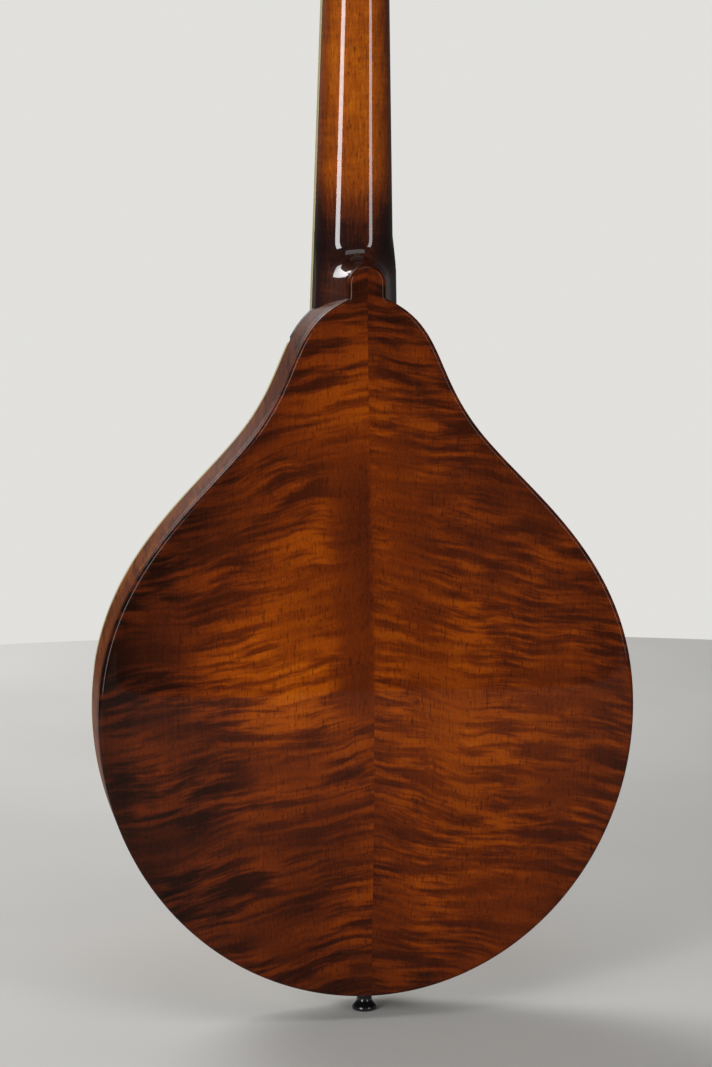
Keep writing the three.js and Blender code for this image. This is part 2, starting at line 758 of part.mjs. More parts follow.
function headOutline(margin = 0) {
  const neckHalf = boardHalfWidth(HEAD_AT) - margin;
  const first = HEAD_HALF_AT_FIRST_POST - margin;
  const top = HEAD_HALF_AT_TOP - margin;
  const low = FIRST_POST - POST_SPACING / 2;
  const side = new THREE.Path();
  side.moveTo(neckHalf, margin);
  side.bezierCurveTo(neckHalf + 1, 0.5 * low, first - 3, 0.55 * low, first, low);
  side.lineTo(top, HEAD_LENGTH - 14);
  side.quadraticCurveTo(top - 2, HEAD_LENGTH - 5 - margin, 12, HEAD_LENGTH - 3 - margin);
  side.quadraticCurveTo(5, HEAD_LENGTH - 2 - margin, 0, HEAD_LENGTH - margin);
  const half = side.getPoints(5);
  const treble = half.map((p) => ({ x: p.x, z: p.y }));
  return [...treble, ...treble.slice(0, -1).reverse().map((p) => ({ x: -p.x, z: p.z }))];
}

// Where each post stands on the head: side, name, and height from the first to the last.
const posts = [1, -1].flatMap((side) =>
  Array.from({ length: POSTS_PER_SIDE }, (_, i) => ({
    side,
    name: `${side > 0 ? "treble" : "bass"}_${i + 1}`,
    height: FIRST_POST + POST_SPACING * i,
  })),
);

function postHoles(radius, front, back) {
  return posts.map(({ side, height }) =>
    solidOf(rod("y", radius, front, back, 10).translate(side * POST_X, 0, height)),
  );
}

function headSolid() {
  const blank = solidOf(slab(headOutline(), 0, HEAD_THICKNESS));
  const holes = postHoles(POST_HOLE_RADIUS, -1, HEAD_THICKNESS + 1);
  const drilled = holes.reduce((left, hole) => left.subtract(hole), blank);
  return solidOf(geometryOf(drilled).applyMatrix4(headFrame.matrix));
}

const POCKET_HALF = TRUSS_NUT_RADIUS + 1.6;
const POCKET_LENGTH = TRUSS_NUT_LENGTH + 12;

function trussPocket() {
  const geometry = box(-POCKET_HALF, POCKET_HALF, -1, POCKET_HALF * 2, 0.5, POCKET_LENGTH);
  return solidOf(geometry.applyMatrix4(headFrame.matrix));
}

function makeHeadplate() {
  const face = -GLUE - HEADPLATE_THICKNESS;
  const pocket = box(-POCKET_HALF, POCKET_HALF, face - 1, 0, 3, POCKET_LENGTH);
  let plate = solidOf(slab(headOutline(0.3), face, -GLUE)).subtract(solidOf(pocket));
  for (const hole of postHoles(POST_HOLE_RADIUS, face - 1, 0)) plate = plate.subtract(hole);
  for (const z of coverScrewHeights())
    plate = plate.subtract(
      solidOf(rod("y", COVER_SCREW_RADIUS + RUN, face - 1, 0, 8).translate(0, 0, z)),
    );
  const bed = solidOf(box(-40, 40, face - 1, 0, -5, 2.5));
  add(headFrame, "headplate", geometryOf(plate.subtract(bed)), ebony);
}

const COVER_SCREW_RADIUS = 0.9;
const COVER_THICKNESS = 1.4;

function coverScrewHeights() {
  return [5.2, POCKET_LENGTH + 5.5];
}

function makeTrussCover() {
  const face = -2 * GLUE - HEADPLATE_THICKNESS;
  const [low, high] = coverScrewHeights();
  const path = new THREE.Path();
  path.moveTo(8.5, low - 2.2);
  path.quadraticCurveTo(9, low + 8, 6.5, low + 12);
  path.quadraticCurveTo(3.4, high - 3, 2.8, high);
  path.quadraticCurveTo(2, high + 3, 0, high + 3.2);
  const half = path.getPoints(4).map((p) => ({ x: p.x, z: p.y }));
  const outline = [...half, ...half.slice(0, -1).reverse().map((p) => ({ x: -p.x, z: p.z }))];
  let cover = solidOf(slab(outline, face - COVER_THICKNESS, face));
  [low, high].forEach((z, i) => {
    const bore = rod("y", COVER_SCREW_RADIUS + RUN, face - 5, 0, 8).translate(0, 0, z);
    cover = cover.subtract(solidOf(bore));
    const head = rod("y", COVER_SCREW_RADIUS + 1, face - COVER_THICKNESS - 1.1, face - COVER_THICKNESS - GLUE);
    const shank = rod("y", COVER_SCREW_RADIUS, face - COVER_THICKNESS - 0.6, -2 * GLUE, 8);
    const screw = solidOf(head).add(solidOf(shank));
    const name = `cover_screw_${i + 1}`;
    add(headFrame, name, geometryOf(screw).translate(0, 0, z), nickel);
  });
  add(headFrame, "truss_rod_cover", geometryOf(cover), blackPlastic);
}

function makeTrussRod() {
  const rodLength = HEAD_AT + 2;
  const bar = rod("z", TRUSS_ROD_RADIUS, 10, rodLength, 10).translate(0, TRUSS_ROD_SINK, 0);
  add(neckFrame, "truss_rod", bar, steel);
  const nut = rod("z", TRUSS_NUT_RADIUS, 0, TRUSS_NUT_LENGTH, 6);
  const mesh = add(neckFrame, "truss_rod_nut", nut, brass);
  mesh.position.set(0, TRUSS_ROD_SINK, rodLength + GLUE);
}

// ---- Fingerboard ----

// The fingerboard's tapered outline between two places along the neck, inset at its sides.
function boardOutline(inset, from, to) {
  const [low, high] = [boardHalfWidth(from) - inset, boardHalfWidth(to) - inset];
  return [
    { x: -low, z: from },
    { x: low, z: from },
    { x: high, z: to },
    { x: -high, z: to },
  ];
}

function makeFingerboard() {
  const edge = BOARD_BINDING + GLUE;
  const top = -GLUE - BOARD_THICKNESS;
  const core = boardOutline(edge, BOARD_END + edge, NUT_AT - GLUE);
  let board = solidOf(slab(core, top, -GLUE));
  for (let fret = 1; fret <= FRET_COUNT; fret++) {
    const along = NUT_AT - fretDistance(fret);
    const half = boardHalfWidth(along) - edge;
    const crown = [
      { x: -FRET_WIDTH / 2, y: 0.2 },
      { x: FRET_WIDTH / 2, y: 0.2 },
      { x: FRET_WIDTH / 2, y: -0.35 * FRET_HEIGHT },
      { x: FRET_WIDTH / 5, y: -FRET_HEIGHT },
      { x: -FRET_WIDTH / 5, y: -FRET_HEIGHT },
      { x: -FRET_WIDTH / 2, y: -0.35 * FRET_HEIGHT },
    ];
    const wire = upright(crown, -half, half).rotateY(Math.PI / 2).translate(0, top, along);
    board = board.add(solidOf(wire));
  }
  add(neckFrame, "fingerboard", geometryOf(board), ebony);
  const outer = boardOutline(0, BOARD_END, NUT_AT - GLUE);
  const inner = boardOutline(BOARD_BINDING, BOARD_END + BOARD_BINDING, NUT_AT);
  const strip = solidOf(slab(outer, top, -GLUE)).subtract(solidOf(slab(inner, top - 1, 1)));
  add(neckFrame, "fingerboard_binding", geometryOf(strip), ivoroid);
  const nut = boardOutline(0, NUT_AT, HEAD_AT - GLUE);
  add(neckFrame, "nut", slab(nut, -NUT_HEIGHT, -GLUE), bone);
}

// ---- Strings ----

// A route through given points, sampled at exactly those points.
class Route extends THREE.Curve {
  constructor(points) {
    super();
    this.points = points;
  }

  getSpacedPoints() {
    return this.points;
  }

  getTangentAt(share) {
    const last = this.points.length - 1;
    const i = Math.round(share * last);
    const [a, b] = [this.points[Math.max(i - 1, 0)], this.points[Math.min(i + 1, last)]];
    return b.clone().sub(a).normalize();
  }
}

function sweep(points, radius, sides) {
  const corners = Array.from({ length: sides }, (_, i) => {
    const turn = (2 * Math.PI * i) / sides;
    return new THREE.Vector2(radius * Math.cos(turn), radius * Math.sin(turn));
  });
  const options = { steps: points.length - 1, extrudePath: new Route(points), bevelEnabled: false };
  return new THREE.ExtrudeGeometry(new THREE.Shape(corners), options);
}

const courseNames = ["g", "d", "a", "e"];

// Each string's place across the nut, bridge and hooks, and the post that it winds on.
const strings = COURSE_RADII.flatMap((radius, course) =>
  [0, 1].map((pair) => {
    const middle = course - 1.5;
    const bass = course < 2;
    const inner = bass ? pair === 1 : pair === 0;
    const row = course === 0 || course === 3 ? 0 : 2;
    return {
      name: `string_${courseNames[course]}_${pair + 1}`,
      radius,
      nutX: middle * COURSES_AT_NUT + (pair - 0.5) * PAIR_AT_NUT,
      bridgeX: middle * COURSES_AT_BRIDGE + (pair - 0.5) * PAIR_AT_BRIDGE,
      hookX: (course * 2 + pair - 3.5) * HOOK_SPACING,
      post: { side: bass ? -1 : 1, height: FIRST_POST + POST_SPACING * (row + (inner ? 1 : 0)) },
    };
  }),
);

const SEAT_DEPTH = -outerDepth(0, TAIL + TAILPIECE_LENGTH) - GLUE; // under the tailpiece
const HOOK_TOP = SEAT_DEPTH - TAILPIECE_METAL - HOOK_RISE;

function stringPoints({ radius, nutX, bridgeX, hookX, post }) {
  const onNeck = (x, height, along) =>
    new THREE.Vector3(x, -height - radius, along).applyMatrix4(neckFrame.matrixWorld);
  const onHead = (x, y, z) => new THREE.Vector3(x, y, z).applyMatrix4(headFrame.matrixWorld);
  const points = [
    new THREE.Vector3(hookX, HOOK_TOP + 1.5, TAIL + HOOK_HEIGHT_ON_BODY + 1.6),
    onNeck(bridgeX, -bridgeOnNeck.y, bridgeOnNeck.z),
    onNeck(nutX, STRING_AT_NUT, NUT_AT + NUT_THICKNESS),
  ];
  const coil = (POST_RADIUS + radius + GLUE) / Math.cos(Math.PI / WINDING_SIDES);
  const steps = WINDING_TURNS * WINDING_SIDES;
  const start = -HEADPLATE_THICKNESS - GLUE - 0.68 * POST_STANDS;
  for (let i = 0; i <= steps; i++) {
    const turn = (2 * Math.PI * WINDING_TURNS * i) / steps;
    const drop = (i / steps) * WINDING_TURNS * (2 * radius + 0.2);
    const x = post.side * (POST_X - coil * Math.cos(turn));
    points.push(onHead(x, start + drop, post.height + coil * Math.sin(turn)));
  }
  return points;
}

function makeStrings() {
  for (const string of strings) {
    const material = string.radius > 0.3 ? bronze : steel;
    add(mandolin, string.name, sweep(stringPoints(string), string.radius, 6), material);
  }
}

// ---- Bridge ----

const BRIDGE_FACE = bridgeCrown.y + GLUE; // top of the saddle

function makeBridge() {
  const [low, high] = [ARCH_CENTRE - BRIDGE_DEPTH / 2, ARCH_CENTRE + BRIDGE_DEPTH / 2];
  const steps = 16;
  const foot = Array.from({ length: steps + 1 }, (_, i) => {
    const x = BRIDGE_HALF_LENGTH * (1 - (2 * i) / steps);
    return { x, y: -Math.max(outerDepth(x, low), outerDepth(x, high), outerDepth(x, ARCH_CENTRE)) - GLUE };
  });
  const crown = foot[steps / 2].y - BRIDGE_BASE;
  const flat = STUD_X + WHEEL_RADIUS + 2;
  const outline = [
    ...foot,
    { x: -BRIDGE_HALF_LENGTH, y: foot[steps].y - BRIDGE_FOOT },
    { x: -flat, y: crown },
    { x: flat, y: crown },
    { x: BRIDGE_HALF_LENGTH, y: foot[0].y - BRIDGE_FOOT },
  ];
  const wheelBack = crown - WHEEL_STEP;
  const wheelFront = wheelBack - WHEEL_THICKNESS;
  const saddleBack = wheelFront - GLUE;
  const studFront = wheelFront - STUD_RISE;
  let base = solidOf(upright(outline, low, high));
  let saddle = saddleSolid(saddleBack);
  for (const [side, name] of [[1, "treble"], [-1, "bass"]]) {
    const place = new THREE.Vector3(side * STUD_X, 0, ARCH_CENTRE);
    const at = (geometry) => geometry.translate(place.x, 0, place.z);
    base = base.subtract(solidOf(at(rod("y", STUD_RADIUS + RUN, crown - 1, crown + STUD_SINK + GLUE))));
    const bore = at(rod("y", SADDLE_BORE_RADIUS, studFront - 1, saddleBack + 1));
    saddle = saddle.subtract(solidOf(bore));
    const stud = at(rod("y", STUD_RADIUS, studFront + WHEEL_STEP, crown + STUD_SINK));
    add(mandolin, `bridge_stud_${name}`, stud, brass);
    const rim = solidOf(rod("y", WHEEL_RADIUS, -WHEEL_THICKNESS / 2, WHEEL_THICKNESS / 2, 18));
    const wheel = rim.subtract(solidOf(rod("y", STUD_RADIUS + RUN, -WHEEL_THICKNESS, WHEEL_THICKNESS)));
    const mesh = add(mandolin, `thumbwheel_${name}`, geometryOf(wheel), brass);
    mesh.position.set(place.x, (wheelBack + wheelFront) / 2, place.z);
  }
  add(mandolin, "bridge_base", geometryOf(base), ebony);
  add(mandolin, "bridge_saddle", geometryOf(saddle), ebony);
}

// The saddle tapers along X to its ends, and along Z to the crest that bears the strings.
function saddleSolid(back) {
  const path = new THREE.Path();
  path.moveTo(SADDLE_HALF_LENGTH, back);
  path.lineTo(SADDLE_HALF_LENGTH, back - SADDLE_END);
  path.quadraticCurveTo(SADDLE_TOP_HALF + 8, back - SADDLE_END - 1, SADDLE_TOP_HALF, BRIDGE_FACE);
  const half = path.getPoints(5).map((p) => ({ x: p.x, y: p.y }));
  const outline = [...half, ...[...half].reverse().map((p) => ({ x: -p.x, y: p.y }))];
  const [thick, crest] = [SADDLE_DEPTH / 2, SADDLE_CREST / 2];
  const shoulder = Math.min(BRIDGE_FACE + thick, back);
  const section = [
    [-thick, back],
    [thick, back],
    [thick, shoulder],
    [crest, BRIDGE_FACE],
    [-crest, BRIDGE_FACE],
    [-thick, shoulder],
  ].map(([x, y]) => ({ x, y }));
  const along = upright(section, -SADDLE_HALF_LENGTH, SADDLE_HALF_LENGTH).rotateY(Math.PI / 2);
  const blank = solidOf(upright(outline, ARCH_CENTRE - thick, ARCH_CENTRE + thick));
  return blank.intersect(solidOf(along.translate(0, 0, ARCH_CENTRE)));
}

// ---- Tailpiece and strap button ----

function makeTailpiece() {
  const seat = SEAT_DEPTH;
  const front = seat - TAILPIECE_METAL;
  const end = TAIL - GLUE;
  const plate = box(
    -TAILPIECE_HALF_WIDTH,
    TAILPIECE_HALF_WIDTH,
    front,
    seat,
    end - TAILPIECE_METAL,
    TAIL + TAILPIECE_LENGTH,
  );
  const flange = box(
    -TAILPIECE_HALF_WIDTH * 0.6,
    TAILPIECE_HALF_WIDTH * 0.6,
    seat - 0.5,
    seat + TAILPIECE_FLANGE,
    end - TAILPIECE_METAL,
    end,
  );
  let frame = solidOf(plate).add(solidOf(flange)).subtract(strapHole);
  for (const { hookX } of strings) {
    const hook = box(
      hookX - HOOK_HALF_WIDTH,
      hookX + HOOK_HALF_WIDTH,
      HOOK_TOP,
      seat - 0.5,
      TAIL + HOOK_HEIGHT_ON_BODY - 1.4,
      TAIL + HOOK_HEIGHT_ON_BODY,
    );
    frame = frame.add(solidOf(hook));
  }
  add(mandolin, "tailpiece_frame", geometryOf(frame), nickel);
  makeTailpieceCover(front);
}

// The cover is a shallow dome, open underneath and at the strings' end.
function makeTailpieceCover(front) {
  const crown = HOOK_TOP - 3;
  const tail = TAIL - GLUE - TAILPIECE_METAL - GLUE;
  const section = (half, top, foot) => {
    const [corner, drop] = [0.84 * half, 0.3 * (foot - top)];
    return [[half, foot], [half, top + drop], [corner, top], [-corner, top], [-half, top + drop], [-half, foot]];
  };
  const skin = (inset, extra) =>
    loft(
      [
        [tail - COVER_METAL + inset, 0.62, 0.45],
        [tail + 5, 0.86, 0.9],
        [TAIL + 0.45 * COVER_LENGTH, 1, 1],
        [TAIL + COVER_LENGTH + extra, 0.94, 1.6],
      ].map(([z, width, height]) => {
        const top = front - (front - crown) * height - 2 + inset;
        const foot = Math.min(front, -outerDepth(0, z)) - GLUE + extra;
        return section(COVER_HALF_WIDTH * width - inset, top, foot).map(
          ([x, y]) => new THREE.Vector3(x, y, z),
        );
      }),
    );
  const shell = solidOf(skin(0, 0)).subtract(solidOf(skin(COVER_METAL, 2)));
  add(mandolin, "tailpiece_cover", geometryOf(shell), nickel);
}

function makeStrapButton() {
  const profile = [
    [0, 0],
    [STRAP_BUTTON_RADIUS - 1, 0],
    [STRAP_BUTTON_RADIUS, 1],
    [STRAP_BUTTON_RADIUS - 0.6, 2.6],
    [STRAP_BUTTON_RADIUS * 0.6, 5],
    [STRAP_BUTTON_RADIUS * 0.8, TAIL - TAILPIECE_METAL - 2 * GLUE],
    [STRAP_PIN_RADIUS, TAIL - TAILPIECE_METAL - 2 * GLUE],
    [STRAP_PIN_RADIUS, TAIL + STRAP_PIN_LENGTH],
    [0, TAIL + STRAP_PIN_LENGTH],
  ].map(([r, z]) => new THREE.Vector2(r, z));
  const button = new THREE.LatheGeometry(profile, 12).rotateX(Math.PI / 2);
  const points = solidOf(button);
  add(mandolin, "strap_button", geometryOf(points), blackPlastic);
}

// ---- Tuners ----

// The worm's thread: a trapezoid carried round the shaft, centred at x = 0 on the side of the gear.
function wormThread(phase) {
  const perTurn = 8;
  const turns = (2 * WORM_HALF_LENGTH) / WORM_LEAD - 0.4;
  const steps = Math.round(perTurn * turns);
  const rings = [];
  for (let i = 0; i <= steps; i++) {
    const turn = (2 * Math.PI * (i - steps / 2)) / perTurn;
    const x = (WORM_LEAD * turn) / (2 * Math.PI);
    rings.push(
      [
        [-0.6, WORM_CORE_RADIUS - 0.2],
        [0.6, WORM_CORE_RADIUS - 0.2],
        [0.25, WORM_CREST_RADIUS],
        [-0.25, WORM_CREST_RADIUS],
      ].map(([dx, r]) => {
        const angle = turn + phase;
        return new THREE.Vector3(x + dx, r * Math.cos(angle), r * Math.sin(angle));
      }),
    );
  }
  return loft(rings);
}

function gearGeometry() {
  const root = WORM_OFFSET - WORM_CREST_RADIUS - 0.2;
  const tip = GEAR_PITCH_RADIUS + 0.6;
  const corners = [];
  for (let tooth = 0; tooth < GEAR_TEETH; tooth++) {
    const middle = Math.PI / 2 + (2 * Math.PI * tooth) / GEAR_TEETH;
    for (const [across, radius] of [[-0.5, root], [-0.25, tip], [0.25, tip], [0.5, root]]) {
      const angle = middle + across / radius;
      corners.push({ x: radius * Math.cos(angle), z: radius * Math.sin(angle) });
    }
  }
  return slab(corners, -GEAR_HALF_WIDTH, GEAR_HALF_WIDTH).translate(0, GEAR_DEPTH, 0);
}

// The thread stands half a lead from the gear's top tooth, so that it lies between two teeth.
const THREAD_PHASE = -Math.PI / 2 + Math.PI;

function keyGeometry(side) {
  const inner = EAR_OFFSET + EAR_THICKNESS + 0.6;
  const reach = KEY_REACH + 1;
  const [from, to] = side > 0 ? [-inner, reach] : [-reach, inner];
  const button = new THREE.ExtrudeGeometry(keyButtonShape(), {
    depth: KEY_BUTTON_THICKNESS - 2,
    bevelThickness: 1,
    bevelSize: 1,
    bevelOffset: -1,
    bevelSegments: 1,
  });
  button.translate(0, 0, -(KEY_BUTTON_THICKNESS - 2) / 2).rotateX(Math.PI / 2);
  button.translate(side * (KEY_REACH + KEY_BUTTON_LENGTH / 2), 0, 0);
  const shaft = solidOf(rod("x", WORM_CORE_RADIUS, from, to, 8));
  return geometryOf(shaft.add(solidOf(wormThread(THREAD_PHASE))).add(solidOf(button)));
}

function keyButtonShape() {
  const shape = new THREE.Shape();
  shape.absellipse(0, 0, KEY_BUTTON_LENGTH / 2, KEY_BUTTON_HALF_WIDTH, 0, 2 * Math.PI);
  return new THREE.Shape(shape.getPoints(10).slice(0, -1));
}

function makeTuners() {
  const front = -GLUE - HEADPLATE_THICKNESS - POST_STANDS;
  const gear = solidOf(gearGeometry());
  const post = geometryOf(gear.add(solidOf(rod("y", POST_RADIUS, front, GEAR_DEPTH))));
  for (const { side, name, height } of posts) {
    const keyMesh = add(headFrame, `tuner_key_${name}`, keyGeometry(side), nickel);
    keyMesh.position.set(side * POST_X, GEAR_DEPTH, height + WORM_OFFSET);
    const postMesh = add(headFrame, `tuner_post_${name}`, post, nickel);
    postMesh.position.set(side * POST_X, 0, height);
  }
  for (const [side, name] of [[1, "treble"], [-1, "bass"]])
    add(headFrame, `tuner_plate_${name}`, tunerPlate(side), nickel);
}

function tunerPlate(side) {
  const last = FIRST_POST + POST_SPACING * (POSTS_PER_SIDE - 1);
  const back = PLATE_BACK + TUNER_PLATE_THICKNESS;
  const edges = [side * (POST_X - 7), side * (POST_X + 10)].sort((a, b) => a - b);
  let plate = solidOf(box(...edges, PLATE_BACK, back, FIRST_POST - 9, last + WORM_OFFSET + 8));
  for (const { height } of posts.filter((p) => p.side === side)) {
    const hole = rod("y", POST_RADIUS + RUN, PLATE_BACK - 1, back + 1).translate(side * POST_X, 0, height);
    plate = plate.subtract(solidOf(hole));
    const axle = height + WORM_OFFSET;
    for (const x of [-EAR_OFFSET - EAR_THICKNESS, EAR_OFFSET]) {
      const left = side * POST_X + x;
      const ear = box(
        left,
        left + EAR_THICKNESS,
        back - 0.5,
        GEAR_DEPTH + EAR_HALF_HEIGHT,
        axle - EAR_HALF_HEIGHT,
        axle + EAR_HALF_HEIGHT,
      );
      plate = plate.add(solidOf(ear));
    }
    const bore = rod("x", EAR_BORE_RADIUS, side * POST_X - 8, side * POST_X + 8, 8);
    plate = plate.subtract(solidOf(bore.translate(0, GEAR_DEPTH, axle)));
  }
  return geometryOf(plate);
}

// ---- Assembly ----

makeBackPlate();
makeTop();
makeRibs();
makeBlocks();
makeNeck();
makeHeadplate();
makeTrussCover();
makeTrussRod();
makeFingerboard();
makeStrings();
makeBridge();
makeTailpiece();
makeStrapButton();
makeTuners();

export default mandolin;
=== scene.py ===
"""A mandolin with a carved, pear-shaped body and eight strings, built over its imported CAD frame.

Shapes are worked out in millimetres, in the frame of the CAD model: +X is the treble side, -Y the
front with the strings, +Z runs up the body to the neck. They turn to metres when a mesh is made.
"""

import logging
import math
from dataclasses import dataclass
from enum import Enum
from functools import cached_property

import bpy
import numpy as np
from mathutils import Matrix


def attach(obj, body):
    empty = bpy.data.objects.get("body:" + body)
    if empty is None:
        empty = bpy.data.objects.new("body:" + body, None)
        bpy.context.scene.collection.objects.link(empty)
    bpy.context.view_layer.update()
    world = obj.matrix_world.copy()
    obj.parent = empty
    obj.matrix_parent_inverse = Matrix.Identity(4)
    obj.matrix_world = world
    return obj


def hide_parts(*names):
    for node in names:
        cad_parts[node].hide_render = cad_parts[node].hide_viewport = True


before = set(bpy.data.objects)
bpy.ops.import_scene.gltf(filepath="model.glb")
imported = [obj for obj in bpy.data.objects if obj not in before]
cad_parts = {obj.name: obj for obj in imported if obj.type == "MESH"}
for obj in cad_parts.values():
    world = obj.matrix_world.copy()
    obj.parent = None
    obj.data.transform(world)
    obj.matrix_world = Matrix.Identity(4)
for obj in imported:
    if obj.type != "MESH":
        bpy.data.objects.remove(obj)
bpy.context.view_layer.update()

LOG = logging.getLogger("mandolin")
MM = 0.001
ROOT = "instrument"
Array = np.ndarray
Point = tuple[float, float, float]
Pairs = list[tuple[float, float]]


# ---- Meshes from grids of points ----


class Skin:
    """The closed surfaces of one piece, gathered from grids of points in millimetres."""

    def __init__(self) -> None:
        """Starts with no surface."""
        self.points: list[Array] = []
        self.faces: list[list[int]] = []
        self.corners: list[Array] = []
        self.marks: dict[str, list[Array]] = {}
        self.count = 0

    def grid(self, points: Array, ring: bool = True, loop: bool = False, caps: bool = True,
             chart: Array | None = None, **marks: Array) -> "Skin":
        """Adds a closed surface through a grid of points.

        Neighbouring points are joined by quads. Open ends are closed by a fan to the mean of the
        row, and the faces are turned round if the volume that they enclose is negative.

        Args:
            points: rows x columns x 3, in millimetres.
            ring: whether the last column joins the first. Every row is then a closed ring.
            loop: whether the last row joins the first, which needs no fans.
            caps: whether open ends are closed. A sheet that a modifier thickens has none.
            chart: map coordinates in millimetres, one more row or column where that way closes.
            marks: values from 0 to 1 for the finish to read, rows x columns.

        Returns:
            The skin itself, so that calls can be chained.
        """
        rows, cols, _ = points.shape
        i = np.arange(rows if loop else rows - 1)[:, None]
        j = np.arange(cols if ring else cols - 1)[None, :]
        down, right = (i + 1) % rows, (j + 1) % cols
        quads = np.stack([i * cols + j, i * cols + right, down * cols + right, down * cols + j], -1)
        quads = quads.reshape(-1, 4)
        flat = points.reshape(-1, 3)
        faces = [quads]
        caps = caps and not loop
        if caps:
            k = np.arange(cols)
            after = (k + 1) % cols
            last = (rows - 1) * cols
            hub = rows * cols
            flat = np.vstack([flat, points[0].mean(0), points[-1].mean(0)])
            faces.append(np.stack([np.full(cols, hub), after, k], -1))
            faces.append(np.stack([np.full(cols, hub + 1), last + k, last + after], -1))
        flipped = _volume(flat - flat.mean(0), faces) < 0
        if flipped:
            faces = [f[:, ::-1] for f in faces]
        if chart is None:
            corners = np.zeros((quads.size, 2))
        else:
            block = np.stack([chart[i, j], chart[i, j + 1], chart[i + 1, j + 1], chart[i + 1, j]], 2)
            corners = (block[:, :, ::-1] if flipped else block).reshape(-1, 2)
        rest = sum(f.size for f in faces[1:])
        self.corners.append(np.vstack([corners, np.zeros((rest, 2))]))
        for f in faces:
            self.faces.extend((f + self.count).tolist())
        for name in set(self.marks) | set(marks):
            given = marks.get(name)
            value = np.zeros(rows * cols) if given is None else given.reshape(-1)
            if caps:
                value = np.r_[value, value[:cols].mean(), value[-cols:].mean()]
            held = self.marks.setdefault(name, [np.zeros(self.count)] if self.count else [])
            held.append(value)
        self.points.append(flat)
        self.count += len(flat)
        return self

    def solid_of(self, outline: Array, levels: Pairs, place: "Seat", tone: float | None = None) -> "Skin":
        """Adds a flat piece: an outline in x and z, carried through depths in y.

        Args:
            outline: corners x 2, one closed loop.
            levels: (how far the outline is drawn in, depth), from the first face to the last.
            place: where the piece's own axes stand.
            tone: how light the finish is, where it asks for that.

        Returns:
            The skin itself.
        """
        out = loop_normals(outline)
        rings = np.array([level(outline - out * inset, depth) for inset, depth in levels])
        marks = {} if tone is None else {"tone": np.full(rings.shape[:2], tone)}
        return self.grid(place.put(rings), **marks)

    def piece(self, name: str, finish: bpy.types.Material, body: str, slot: str,
              crease: float = 35.0, added: bool = False) -> bpy.types.Object:
        """Makes the object, dresses it and lets it ride on its body.

        Args:
            name: the piece's name, which is also that of the CAD node that it replaces.
            finish: its material.
            body: the CAD body that it moves with.
            slot: not used.
            crease: edges sharper than this many degrees stay sharp.
            added: whether it is one of the pieces that replace no node.

        Returns:
            The Blender object.
        """
        mesh = bpy.data.meshes.new(name)
        mesh.from_pydata((np.vstack(self.points) * MM).tolist(), [], self.faces)
        chart = mesh.uv_layers.new(name="chart")
        chart.data.foreach_set("uv", (np.vstack(self.corners) * MM).astype(np.float32).ravel())
        for mark, values in self.marks.items():
            layer = mesh.attributes.new(mark, "FLOAT", "POINT")
            layer.data.foreach_set("value", np.concatenate(values).astype(np.float32))
        mesh.polygons.foreach_set("use_smooth", np.ones(len(mesh.polygons), bool))
        mesh.set_sharp_from_angle(angle=math.radians(crease))
        mesh.materials.append(finish)
        mesh.update()
        thing = bpy.data.objects.new(name, mesh)
        bpy.context.scene.collection.objects.link(thing)
        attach(thing, body)
        if not added:
            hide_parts(name)
        LOG.info("%s: %d faces on %s", name, len(mesh.polygons), body)
        return thing


def _volume(points: Array, faces: list[Array]) -> float:
    """Six times the volume inside a closed surface: the sum of a . (b x c) over its triangles.

    Args:
        points: the surface's points, from its middle.
        faces: arrays of faces x corners.

    Returns:
        The volume, which is below 0 where the faces point inwards.
    """
    total = 0.0
    for group in faces:
        for k in range(1, group.shape[1] - 1):
            a, b, c = points[group[:, 0]], points[group[:, k]], points[group[:, k + 1]]
            total += float(np.einsum("ij,ij->", a, np.cross(b, c)))
    return total


def loop_normals(loop: Array) -> Array:
    """Unit normals out of a closed flat loop: its central differences, turned a quarter round.

    Args:
        loop: corners x 2, either way round.

    Returns:
        The normals, corners x 2.
    """
    along = np.roll(loop, -1, 0) - np.roll(loop, 1, 0)
    out = np.column_stack([along[:, 1], -along[:, 0]])
    out /= np.maximum(np.linalg.norm(out, axis=1, keepdims=True), 1e-9)
    nxt = np.roll(loop, -1, 0)
    area = float(np.sum(loop[:, 0] * nxt[:, 1] - nxt[:, 0] * loop[:, 1]))
    return out if area > 0 else -out


def level(line: Array, depth: float) -> Array:
    """A flat line of x and z at one depth."""
    return np.column_stack([line[:, 0], np.full(len(line), depth), line[:, 1]])


def mirrored(side: Array) -> Array:
    """A closed outline from its right half, whose last point is on the centreline."""
    return np.vstack([side, (side * (-1, 1))[-2::-1]])


def evened(outline: Array, count: int) -> Array:
    """Points spaced evenly round a closed outline."""
    return resample(np.vstack([outline, outline[:1]]), count + 1)[:-1]


def resample(points: Array, count: int) -> Array:
    """Points spaced evenly by length along an open polyline.

    Args:
        points: the polyline's own points.
        count: how many points to give back.

    Returns:
        The new points, from the same end.
    """
    steps = np.r_[0, np.cumsum(np.linalg.norm(np.diff(points, axis=0), axis=1))]
    at = np.linspace(0, steps[-1], count)
    return np.column_stack([np.interp(at, steps, points[:, k]) for k in range(points.shape[1])])


def bezier(a: Array, b: Array, c: Array, d: Array, count: int) -> Array:
    """Points of the cubic curve from a to d with handles b and c."""
    t = np.linspace(0, 1, count)[:, None]
    return (1 - t) ** 3 * a + 3 * (1 - t) ** 2 * t * b + 3 * (1 - t) * t * t * c + t**3 * d


def circle(count: int) -> Array:
    """Angles spaced evenly round a full turn."""
    return np.linspace(0, 2 * math.pi, count, endpoint=False)


def smoothstep(low: float, high: float, value: Array) -> Array:
    """0 below low, 1 above high, and 3t^2 - 2t^3 in between."""
    t = np.clip((value - low) / (high - low), 0, 1)
    return t * t * (3 - 2 * t)


